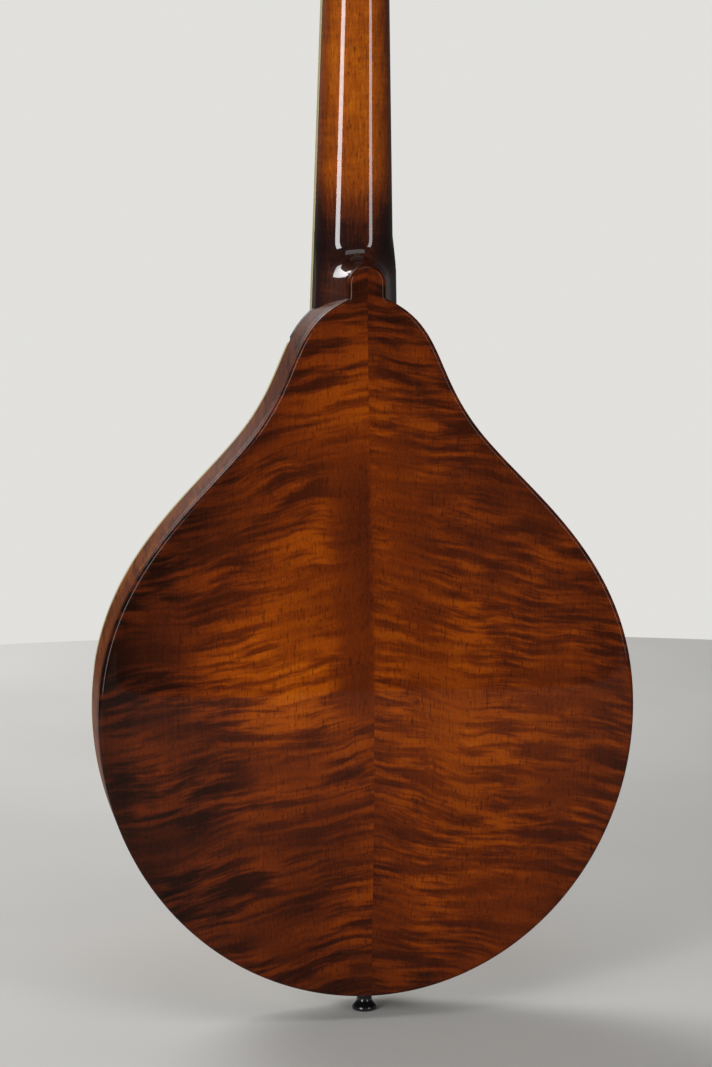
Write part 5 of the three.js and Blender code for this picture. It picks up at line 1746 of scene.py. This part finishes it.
@dataclass
class Tuner:
    """One worm-geared tuner: its post with the gear, its key with the worm, and the ferrule."""

    wear: Wardrobe
    side: int
    number: int
    front: float = -13.8
    teeth: int = 14
    pitch_radius: float = 4.902
    lead: float = 2.2
    crest: float = 2.8
    core: float = 1.4
    key_reach: float = 19.0

    @property
    def name(self) -> str:
        """The tuner's side and number, as the frame has them."""
        return f"{'treble' if self.side > 0 else 'bass'}_{self.number}"

    @property
    def foot(self) -> Point:
        """The post's place in the plane of the head's face."""
        return (self.side * ROW.across, 0.0, ROW.height(self.number - 1))

    def build(self) -> None:
        """Builds the tuner's pieces on their bodies."""
        self.post()
        self.key()
        self.ferrule()

    def post(self) -> None:
        """The turned post with its waist and string hole, and the toothed gear on its end."""
        front, depth, r = self.front, ROW.axle_depth, ROW.radius
        x, _, z = self.foot
        profile = np.array([(0.3, front), (2.2, front), (2.75, front + 0.25), (r, front + 0.8),
                            (r, front + 2.6), (2.75, front + 3.1), (2.75, front + 7.4), (r, front + 8.0),
                            (r, depth - 1.0), (0.4, depth - 1.0)])
        skin = turned(Skin(), profile, self.foot, Axis.Y, HEAD_SEAT, 36)
        bore = np.array([(0.75, -3.03), (0.95, -3.05), (0.95, 3.05), (0.75, 3.03)])
        turned(skin, bore, (x, front + 5.2, z), Axis.X, HEAD_SEAT, 16)
        root, tip = ROW.axle_above - self.crest - 0.2, self.pitch_radius + 0.6
        middle = math.pi / 2 + 2 * math.pi * np.arange(self.teeth)[:, None] / self.teeth
        across = np.array([-0.5, -0.42, -0.25, 0.25, 0.42, 0.5])[None]
        radius = np.array([root, root + 0.55, tip, tip, root + 0.55, root])[None]
        angle = (middle + across / radius).ravel()
        radius = np.broadcast_to(radius, (self.teeth, 6)).ravel()
        outline = np.column_stack([radius * np.cos(angle) + x, radius * np.sin(angle) + z])
        levels = [(0.12, depth - 1), (0, depth - 0.85), (0, depth + 0.85), (0.12, depth + 1)]
        skin.solid_of(outline, levels, HEAD_SEAT)
        screw(skin, (x, depth + 1.0, z), 1, 1.9, 0.9, HEAD_SEAT)
        name = f"tuner_post_{self.name}"
        skin.piece(name, self.wear.nickel, f"post_{self.name}", "nickel_plate", 35)

    def key(self) -> None:
        """The key's shaft with its worm, and the oval knob.

        The thread is a trapezoid carried round the shaft: it moves one lead along for each turn.
        """
        x0, y0, z0 = self.foot[0], ROW.axle_depth, self.foot[2] + ROW.axle_above
        inner, outer = -5.7, self.key_reach + 1.5
        shaft = np.array([(1.0, inner), (self.core, inner + 0.3), (self.core, 9.0), (1.7, 9.4), (1.7, 10.2),
                          (1.2, 10.6), (1.2, 14.0), (1.5, 15.5), (2.1, outer - 2.1), (2.1, outer)])
        shaft = shaft * (1, self.side)
        skin = turned(Skin(), shaft, (x0, y0, z0), Axis.X, HEAD_SEAT, 24)
        turns = 7.0 / self.lead - 0.4
        turn = np.linspace(-math.pi * turns, math.pi * turns, int(28 * turns))[:, None]
        offset = np.array([-0.6, -0.25, 0.25, 0.6])[None]
        radius = np.array([self.core - 0.2, self.crest, self.crest, self.core - 0.2])[None]
        fade = np.minimum(1, (math.pi * turns - np.abs(turn)) / 0.5 + 0.35)
        radius = self.core - 0.2 + (radius - self.core + 0.2) * fade
        angle = turn + math.pi / 2
        along = self.lead * turn / (2 * math.pi) + offset
        thread = np.stack([along, radius * np.cos(angle), radius * np.sin(angle)], -1)
        skin.grid(HEAD_SEAT.put(thread + np.array([x0, y0, z0])))
        body = f"key_{self.name}"
        skin.piece(f"tuner_key_{self.name}", self.wear.nickel, body, "nickel_plate", 40)
        self.knob(x0 + self.side * (self.key_reach + 6.0), y0, z0, body)

    def knob(self, x: float, y: float, z: float, body: str) -> None:
        """The knob: a superellipsoid, thinner at the middle of its faces so that it can be gripped.

        Args:
            x: the middle's distance across the head.
            y: its depth.
            z: its height.
            body: the body that the knob turns with.
        """
        u = np.linspace(0.02, math.pi - 0.02, 30)[:, None]
        v = circle(48)[None]
        px = 6.0 * bent(np.cos(u), 0.8) * np.ones_like(v)
        pz = 7.5 * bent(np.sin(u), 0.8) * bent(np.cos(v), 0.9)
        waist = 1 - 0.16 * np.exp(-((px / 3.4) ** 2) - (pz / 4.2) ** 2)
        py = 3.0 * bent(np.sin(u), 0.6) * bent(np.sin(v), 0.75) * waist
        skin = Skin().grid(HEAD_SEAT.put(np.stack([px + x, py + y, pz + z], -1)))
        skin.piece(f"knob_{self.name}", self.wear.knob, body, "ivoroid", 60, added=True)

    def ferrule(self) -> None:
        """The pressed collar round the post on the head's face."""
        profile = np.array([(3.15, -3.4), (3.5, -3.75), (4.3, -3.55), (4.9, -2.9), (5.3, -2.35), (5.3, -2.1),
                            (3.15, -2.1)])
        skin = turned(Skin(), profile, self.foot, Axis.Y, HEAD_SEAT, 40, closed=True)
        skin.piece(f"ferrule_{self.name}", self.wear.nickel, ROOT, "nickel_plate", added=True)


def bent(value: Array, power: float) -> Array:
    """A value's size raised to a power, with its sign kept."""
    return np.sign(value) * np.abs(value) ** power


@dataclass
class TunerPlate:
    """The plate that carries four tuners on one side, with its ears and screws."""

    wear: Wardrobe
    side: int
    seat: float = 14.3
    thickness: float = 1.2
    low: float = 21.0
    high: float = 113.5
    inside: float = 7.0
    outside: float = 10.0
    ears: tuple[float, float] = (-5.1, 3.9)
    ear_thickness: float = 1.2
    ear_half: float = 2.8
    bore: float = 1.75
    screws: tuple[tuple[float, float], ...] = ((6.6, 24.5), (5.6, 42.8), (5.6, 65.6), (6.6, 110.6))

    def build(self) -> None:
        """Builds the plate, a pair of ears for each key, and four screws."""
        name = f"tuner_plate_{'treble' if self.side > 0 else 'bass'}"
        inner, outer = self.side * (ROW.across - self.inside), self.side * (ROW.across + self.outside)
        outline = rounded_box(min(inner, outer), max(inner, outer), self.low, self.high, 3.0)
        back = self.seat + self.thickness
        levels = [(0, self.seat), (0, back - 0.3), (0.12, back - 0.08), (0.4, back)]
        skin = Skin().solid_of(outline, levels, HEAD_SEAT)
        for place in range(4):
            for x in self.ears:
                self.ear(skin, self.side * ROW.across + x, back, ROW.height(place) + ROW.axle_above)
        for out, z in self.screws:
            screw(skin, (self.side * (ROW.across + out), back - 0.02, z), 1, 1.5, 0.7, HEAD_SEAT)
        skin.piece(name, self.wear.nickel, ROOT, "nickel_plate", 40)

    def ear(self, skin: Skin, left: float, back: float, axle: float) -> None:
        """An upright ear that the key's shaft runs in: straight sides and a rounded end, bored.

        Args:
            skin: takes the surface.
            left: where its first face lies across the head.
            back: the depth of the plate that it stands on.
            axle: the height of the key's axis.
        """
        half, top = self.ear_half, ROW.axle_depth
        turn = circle(48)
        y, z = np.cos(turn), np.sin(turn)
        reach = np.where(y < 0, half / np.maximum(np.abs(z), 1e-6), half)
        reach = np.minimum(reach, np.where(y < 0, (top - back + 0.3) / np.maximum(-y, 1e-6), half))
        hole, right = self.bore + 0 * reach, left + self.ear_thickness
        rows = []
        for x, r in ((left, hole), (left, reach), (right, reach), (right, hole)):
            rows.append(np.column_stack([np.full(48, x), top + y * r, axle + z * r]))
        skin.grid(HEAD_SEAT.put(np.array(rows)), loop=True)


def rounded_box(x0: float, x1: float, z0: float, z1: float, radius: float) -> Array:
    """A rectangle in x and z with round corners.

    Args:
        x0: its least x.
        x1: its greatest x.
        z0: its least z.
        z1: its greatest z.
        radius: the corners' radius.

    Returns:
        The outline's points.
    """
    a = np.linspace(0, math.pi / 2, 8)
    right, left, high, low = x1 - radius, x0 + radius, z1 - radius, z0 + radius
    rows = []
    for k, (x, z) in enumerate(((right, high), (left, high), (left, low), (right, low))):
        turn = a + k * math.pi / 2
        rows.append(np.column_stack([x + radius * np.cos(turn), z + radius * np.sin(turn)]))
    return np.vstack(rows)


# ---- Bridge, tailpiece and strap button ----


@dataclass
class Bridge:
    """The two-part bridge: a base fitted to the arch, and a saddle on two knurled wheels."""

    shape: BodyShape
    wear: Wardrobe
    crown_face: float
    half_length: float = 57.0
    depth: float = 11.0
    foot: float = 2.6
    rise: float = 5.0
    stud_x: float = 33.0
    wheel_radius: float = 6.3
    wheel: float = 2.6
    step: float = 1.4
    saddle_half: float = 43.0
    saddle_top: float = 24.0
    saddle_end: float = 4.5
    crest: float = 2.0
    saddle_depth: float = 7.0

    @property
    def crown(self) -> float:
        """The depth of the base's flat top."""
        z = self.shape.arch_centre + self.depth / 2 * np.array([-1, 0, 1])
        return -float(self.shape.outer(0 * z, z).max()) - 0.3 - self.rise

    def build(self) -> None:
        """Builds the base, the saddle, the studs and the wheels."""
        self.base()
        self.saddle()
        for side, name in ((1, "treble"), (-1, "bass")):
            self.wheel_and_stud(side, name)

    def wheel_and_stud(self, side: int, name: str) -> None:
        """A wheel whose rim carries fine ridges, with broken edges, on its threaded stud.

        Args:
            side: 1 for the treble side, -1 for the bass side.
            name: the side's name.
        """
        r, back, x, z = self.wheel_radius, self.crown - self.step, side * self.stud_x, self.shape.arch_centre
        profile = np.array([(2.3, 0), (r - 0.5, 0), (r, -0.45), (r, 0.45 - self.wheel),
                            (r - 0.5, -self.wheel), (2.3, -self.wheel)])
        wheel = turned(Skin(), profile, (x, back, z), Axis.Y, Seat(), 216, closed=True, knurl=(36, 0.16))
        node = f"thumbwheel_{name}"
        wheel.piece(node, self.wear.brass, f"wheel_{name}", "brass", 30)
        front = back - self.wheel - self.rise + self.step
        thread = np.arange(88)
        y = np.linspace(front + 0.4, self.crown + 0.4, len(thread))
        rod = np.vstack([(1.2, front + 0.02), np.column_stack([1.9 - 0.22 * (thread % 2), y])])
        stud = turned(Skin(), rod, (x, 0, z), Axis.Y, Seat(), 24)
        node = f"bridge_stud_{name}"
        stud.piece(node, self.wear.brass, ROOT, "brass", 20)

    def base(self) -> None:
        """The base: sections across it whose foot follows the arch and whose top is flat at the wheels.

        The top falls from the flat to the ends along a smooth curve, and its front edges are round.
        """
        form = self.shape
        x = np.linspace(-self.half_length, self.half_length, 160)
        flat = self.stud_x + self.wheel_radius + 2
        t = smoothstep(flat, self.half_length, np.abs(x))
        end = -float(form.outer(np.array(self.half_length), np.array(form.arch_centre))) - 0.3 - self.foot
        top = self.crown + (end - self.crown) * t
        round_off = np.sqrt(np.clip(1 - ((np.abs(x) - self.half_length + 3) / 3).clip(0, 1) ** 2, 0.02, 1))
        across = self.depth / 2 * (0.72 + 0.28 * round_off)
        hollow = 1.6 * smoothstep(9, 14, np.abs(x)) * smoothstep(26, 21, np.abs(x))
        left = [(-1, 1.0), (-1, 0.5), (-1, 0.16), (-0.93, 0.03), (-0.8, 0.0)]
        section = left + [(-u, v) for u, v in left[::-1]]
        rows = []
        for u, v in section:
            z = form.arch_centre + u * across
            low = -form.outer(x, z) + 0.15 - hollow * (v == 1.0)
            rows.append(np.column_stack([x, top + (low - top) * v, z]))
        for u in (0.5, 0.0, -0.5):
            z = form.arch_centre + u * across
            rows.append(np.column_stack([x, -form.outer(x, z) + 0.15 - hollow, z]))
        Skin().grid(np.stack(rows, 1)).piece("bridge_base", self.wear.ebony_cross, ROOT, "ebony", 40)

    def saddle(self) -> None:
        """The saddle: high in the middle, scooped down to its wings, with a crest under the strings.

        The crest steps to and fro between courses, to keep each in tune up the board.
        """
        back = self.crown - self.step - self.wheel - 0.3
        high = self.crown_face
        x = np.linspace(-self.saddle_half, self.saddle_half, 220)
        tip = back - self.saddle_end
        wing = quadratic(np.array([self.saddle_half, tip]), np.array([self.saddle_top + 8, tip - 1]),
                         np.array([self.saddle_top, high]), 40)
        top = np.where(np.abs(x) > self.saddle_top, np.interp(np.abs(x), wing[::-1, 0], wing[::-1, 1]), high)
        shift = np.interp(x, (-12.8, -12.2, -0.3, 0.3, 5.9, 6.4), (-0.6, 0.5, 0.5, -0.6, -0.6, 0.7))
        shift = shift * smoothstep(26, 22, np.abs(x))
        notch = sum(np.exp(-(((x - s.bridge_x) / (s.radius + 0.3)) ** 2)) for s in string_set()) * 0.35
        end = np.sqrt(np.clip(1 - ((np.abs(x) - self.saddle_half + 2.5) / 2.5).clip(0, 1) ** 2, 0.03, 1))
        thick = self.saddle_depth / 2 * end
        crest = np.minimum(self.crest / 2, thick)
        shoulder = np.minimum(top + thick - crest + 0.6, back - 0.3)
        z0 = self.shape.arch_centre
        near, far = shift - crest, shift + crest
        ring = [(back, -thick), (back, thick), (shoulder + 0.3, thick), (shoulder - 0.5, thick - 0.35),
                (top + 0.15, far + 0.25), (top + notch, far), (top + notch, near), (top + 0.15, near - 0.25),
                (shoulder - 0.5, 0.35 - thick), (shoulder + 0.3, -thick)]
        rows = []
        for y, z in ring:
            y = np.minimum(np.broadcast_to(y, x.shape), back)
            rows.append(np.column_stack([x, y, z0 + np.clip(z, -thick, thick)]))
        Skin().grid(np.stack(rows, 1)).piece("bridge_saddle", self.wear.ebony_cross, "saddle", "ebony", 35)


@dataclass
class Tailpiece:
    """The pressed metal tailpiece: a bent frame with hooks, and its slide-on cover."""

    shape: BodyShape
    wear: Wardrobe
    half: float = 17.0
    metal: float = 1.2
    length: float = 32.0
    flange: float = 29.0
    flange_half: float = 10.2
    hook_height: float = 26.0
    hook_rise: float = 5.0
    cover_half: float = 20.0
    cover_metal: float = 1.0
    cover_length: float = 54.0

    @property
    def seat(self) -> float:
        """The depth of the frame's underside."""
        return -float(self.shape.outer(np.array(0.0), np.array(self.shape.tail + self.length))) - 0.3

    @property
    def hook_top(self) -> float:
        """The depth of the hooks' tips."""
        return self.seat - self.metal - self.hook_rise

    def build(self) -> None:
        """Builds the frame with its hooks, and the cover."""
        front = self.seat - self.metal
        tail = self.shape.tail - 0.3
        skin = Skin()
        plate = rounded_box(-self.half, self.half, tail - self.metal, self.shape.tail + self.length, 2.0)
        skin.solid_of(plate, [(0.5, front), (0.12, front + 0.12), (0, front + 0.45), (0, self.seat)], Seat())
        a, r = np.linspace(0, math.pi, 24), self.flange_half
        arc = np.column_stack([r * np.cos(a), self.seat + self.flange - r + r * np.sin(a)])
        outline = np.vstack([[(r, self.seat - 0.4)], arc, [(-r, self.seat - 0.4)]])
        out = loop_normals(outline)
        edge = ((0, tail), (0, tail - 0.9), (0.1, tail - 1.1), (0.35, tail - self.metal))
        rows = [np.column_stack([outline - out * i, np.full(len(outline), z)]) for i, z in edge]
        skin.grid(np.array(rows))
        for s in string_set():
            self.hook(skin, s.hook_x, front)
        for x in (-12.5, 12.5, 0.0):
            screw(skin, (x, front + 0.02, 18.0), -1, 1.9, 0.8, Seat())
        skin.piece("tailpiece_frame", self.wear.nickel, ROOT, "nickel_plate", 40)
        self.cover(front)

    def hook(self, skin: Skin, x: float, front: float) -> None:
        """A hook pressed up from the plate: a bar that rises and curls back towards the tail.

        Args:
            skin: takes the surface.
            x: the hook's distance across.
            front: the depth of the plate's face.
        """
        base = self.shape.tail + self.hook_height - 0.9
        path = np.array([[x, front + 0.8, base], [x, front - 1.5, base], [x, front - 3.2, base - 0.1],
                         [x, self.hook_top + 0.9, base - 0.5], [x, self.hook_top + 0.7, base - 1.4]])
        swept(skin, resample(path, 14), 0.62, 10, (1.0, 0.0, 0.0))

    def cover(self, front: float) -> None:
        """The cover: sections like a flattened arch that swell from the tail and stay open ahead.

        A section is x = w cos^0.75 t, depth = foot + (top - foot) sin^0.5 t. Its height rises from the
        tail by a quarter ellipse, and a shallow bead runs round its open end.

        Args:
            front: the depth of the frame's face.
        """
        crown = self.hook_top - 3
        tail = self.shape.tail - 0.3 - self.metal - 0.3 - self.cover_metal
        near, far = self.shape.tail + 5, self.shape.tail + self.cover_length
        swell = 1 - np.cos(np.linspace(0, math.pi / 2, 16))
        z = np.r_[tail + (near - tail) * swell, np.linspace(near + 1, far, 34)]
        stations = (tail, near, self.shape.tail + 0.45 * self.cover_length, far)
        width = np.interp(z, stations, (0.62, 0.86, 1.0, 0.94))
        width = np.convolve(np.pad(width, 4, "edge"), np.ones(9) / 9, "valid")
        early = np.sqrt(np.clip((z - tail) / (near - tail), 0, 1))
        high = np.interp(z, stations, (0.45, 0.9, 1.0, 1.6)) * (0.05 + 0.95 * early)
        high = np.convolve(np.pad(high, 2, "edge"), np.ones(5) / 5, "valid")
        bead = 0.35 * np.exp(-(((z - z[-1] + 2.2) / 0.8) ** 2))
        top = front - (front - crown) * high - 2 * early + 0.6 - bead
        foot = np.minimum(front, -self.shape.outer(0 * z, z)) - 0.35
        t = np.linspace(0, math.pi, 61)[None]
        x = self.cover_half * width[:, None] * bent(np.cos(t), 0.75)
        lift = np.clip(np.sin(t), 0, 1) ** 0.5
        y = foot[:, None] + (top - foot)[:, None] * lift
        y = np.maximum(y, crown - (front - crown) * 0.6 - 1.55)
        grid = np.stack([x, y, np.broadcast_to(z[:, None], y.shape)], -1)
        skin = Skin().grid(grid, ring=False, caps=False)
        shell = skin.piece("tailpiece_cover", self.wear.nickel, "tail_cover", "nickel_plate", 45)
        wall = shell.modifiers.new("wall", "SOLIDIFY")
        wall.thickness = 0.8 * MM
        wall.offset = -1.0


@dataclass
class StrapButton:
    """The black button at the tail, turned with a flared rim and a waist."""

    wear: Wardrobe

    def build(self) -> None:
        """Builds the button as one turned profile of radius and height."""
        flare = [(0.4, 0.25), (3.4, 0.0), (5.0, 0.06), (5.7, 0.5), (6.0, 1.3), (5.75, 2.2), (5.0, 3.1)]
        waist = [(4.2, 4.0), (3.7, 5.0), (3.6, 6.2), (3.9, 7.6), (4.5, 9.2), (4.8, 10.0), (4.8, 10.2)]
        profile = np.array([*flare, *waist, (2.5, 10.2), (2.5, 31.8)])
        turned(Skin(), profile, (0.0, 0.0, 0.0), Axis.Z, Seat(), 48).piece(
            "strap_button", self.wear.plastic, ROOT, "black_plastic", 45)


# ---- Studio ----


@dataclass
class Studio:
    """A pale floor, soft light from large panels, and the camera."""

    wear: Wardrobe
    place: Point = (238.08, 1439.54, 424.37)
    right: Point = (-0.98673, 0.16225, -0.00623)
    up: Point = (-0.02747, -0.12899, 0.99127)
    back: Point = (0.16002, 0.97828, 0.13174)
    lens: float = 105.5
    sheet: float = 1100.0
    dim: float = 0.1
    pale: float = 0.82

    def build(self) -> None:
        """Builds the floor, the panels and the camera."""
        self.floor()
        world = bpy.data.worlds.new("studio")
        sky = Tree(world, "World")
        # The room is lit like a dark studio, and only the view past the floor's edge is pale.
        glow = sky.add("MapRange", {"Value": sky.add("LightPath"), "To Min": self.dim, "To Max": self.pale})
        sky.end_in(sky.add("Background", {"Color": linear("#f6f5f2"), "Strength": glow}))
        bpy.context.scene.world = world
        bpy.context.scene.view_settings.view_transform = "Standard"
        self.panel("left_panel", (1150, 1350, 520), (0, 0, 330), (420, 1100), 25.0)
        self.panel("right_panel", (-980, 1360, 520), (0, 0, 330), (240, 1100), 7.5)
        self.panel("top_panel", (0, 900, 1900), (0, 0, 200), (1400, 900), 8.0)
        self.panel("front_panel", (700, -1500, 1300), (0, 0, 330), (1300, 1100), 30.0)
        self.camera()

    def floor(self) -> None:
        """A round sheet of paper under the object: x = r cos t and y = r sin t at height 0."""
        a = circle(180)
        ring = self.sheet * np.column_stack([np.cos(a), np.sin(a), 0 * a])
        faces = np.arange(180)[None]
        mesh = bpy.data.meshes.new("studio_floor")
        mesh.from_pydata((ring * MM).tolist(), [], faces.tolist())
        mesh.polygons.foreach_set("use_smooth", np.ones(len(faces), bool))
        mesh.materials.append(StudioPaper().material())
        sheet = bpy.data.objects.new("studio_floor", mesh)
        bpy.context.scene.collection.objects.link(sheet)

    def panel(self, name: str, at: Point, towards: Point,
              size: tuple[float, float], watts: float) -> None:
        """A soft light: a rectangle that faces a point.

        Args:
            name: the light's name.
            at: its place, in millimetres.
            towards: the point that it faces.
            size: its width and height, in millimetres.
            watts: its power.
        """
        lamp = bpy.data.lights.new(name, "AREA")
        lamp.shape = "RECTANGLE"
        lamp.size, lamp.size_y = size[0] * MM, size[1] * MM
        lamp.energy = watts
        light = bpy.data.objects.new(name, lamp)
        light.visible_camera = False
        away = np.array(at, float) - np.array(towards, float)
        light.matrix_world = standing(at, away)
        bpy.context.scene.collection.objects.link(light)

    def camera(self) -> None:
        """The camera, by its place and its three axes."""
        lens = bpy.data.cameras.new("camera")
        lens.lens, lens.sensor_width = self.lens, 36.0
        lens.clip_start, lens.clip_end = 0.05, 20.0
        eye = bpy.data.objects.new("camera", lens)
        matrix = np.eye(4)
        matrix[:3, 0], matrix[:3, 1], matrix[:3, 2] = self.right, self.up, self.back
        matrix[:3, 3] = np.array(self.place) * MM
        eye.matrix_world = matrix.T.tolist()
        bpy.context.scene.collection.objects.link(eye)
        bpy.context.scene.camera = eye


def standing(at: Point, away: Array) -> list[list[float]]:
    """A matrix at a point, whose z runs along a direction and whose y leans up.

    Args:
        at: the place, in millimetres.
        away: the direction of z.

    Returns:
        The matrix, column by column.
    """
    back = away / np.linalg.norm(away)
    right = np.cross((0.0, 0.0, 1.0), back)
    right /= np.linalg.norm(right)
    matrix = np.eye(4)
    matrix[:3, 0], matrix[:3, 1], matrix[:3, 2] = right, np.cross(back, right), back
    matrix[:3, 3] = np.array(at) * MM
    return matrix.T.tolist()


# ---- The instrument ----


def main() -> None:
    """Builds the studio and every sub-assembly, in order."""
    logging.basicConfig(level=logging.INFO, format="%(name)s: %(message)s")
    wear = Wardrobe()
    shape = BodyShape()
    taper = Taper()
    tailpiece = Tailpiece(shape, wear)
    saddle_top = float(NECK_SEAT.put(np.array([0.0, -taper.string_at_bridge, -taper.span]))[1]) + 0.3
    parts = [Studio(wear), Body(shape, wear), Neck(taper, wear), Fingerboard(taper, wear), Headplate(wear),
             Strings(taper, wear, tailpiece.hook_top), Bridge(shape, wear, saddle_top), tailpiece,
             StrapButton(wear)]
    for side in (1, -1):
        parts.append(TunerPlate(wear, side))
        parts.extend(Tuner(wear, side, number) for number in range(1, 5))
    for part in parts:
        LOG.info("building: %s", type(part).__name__)
        part.build()


if __name__ == "__main__":
    main()
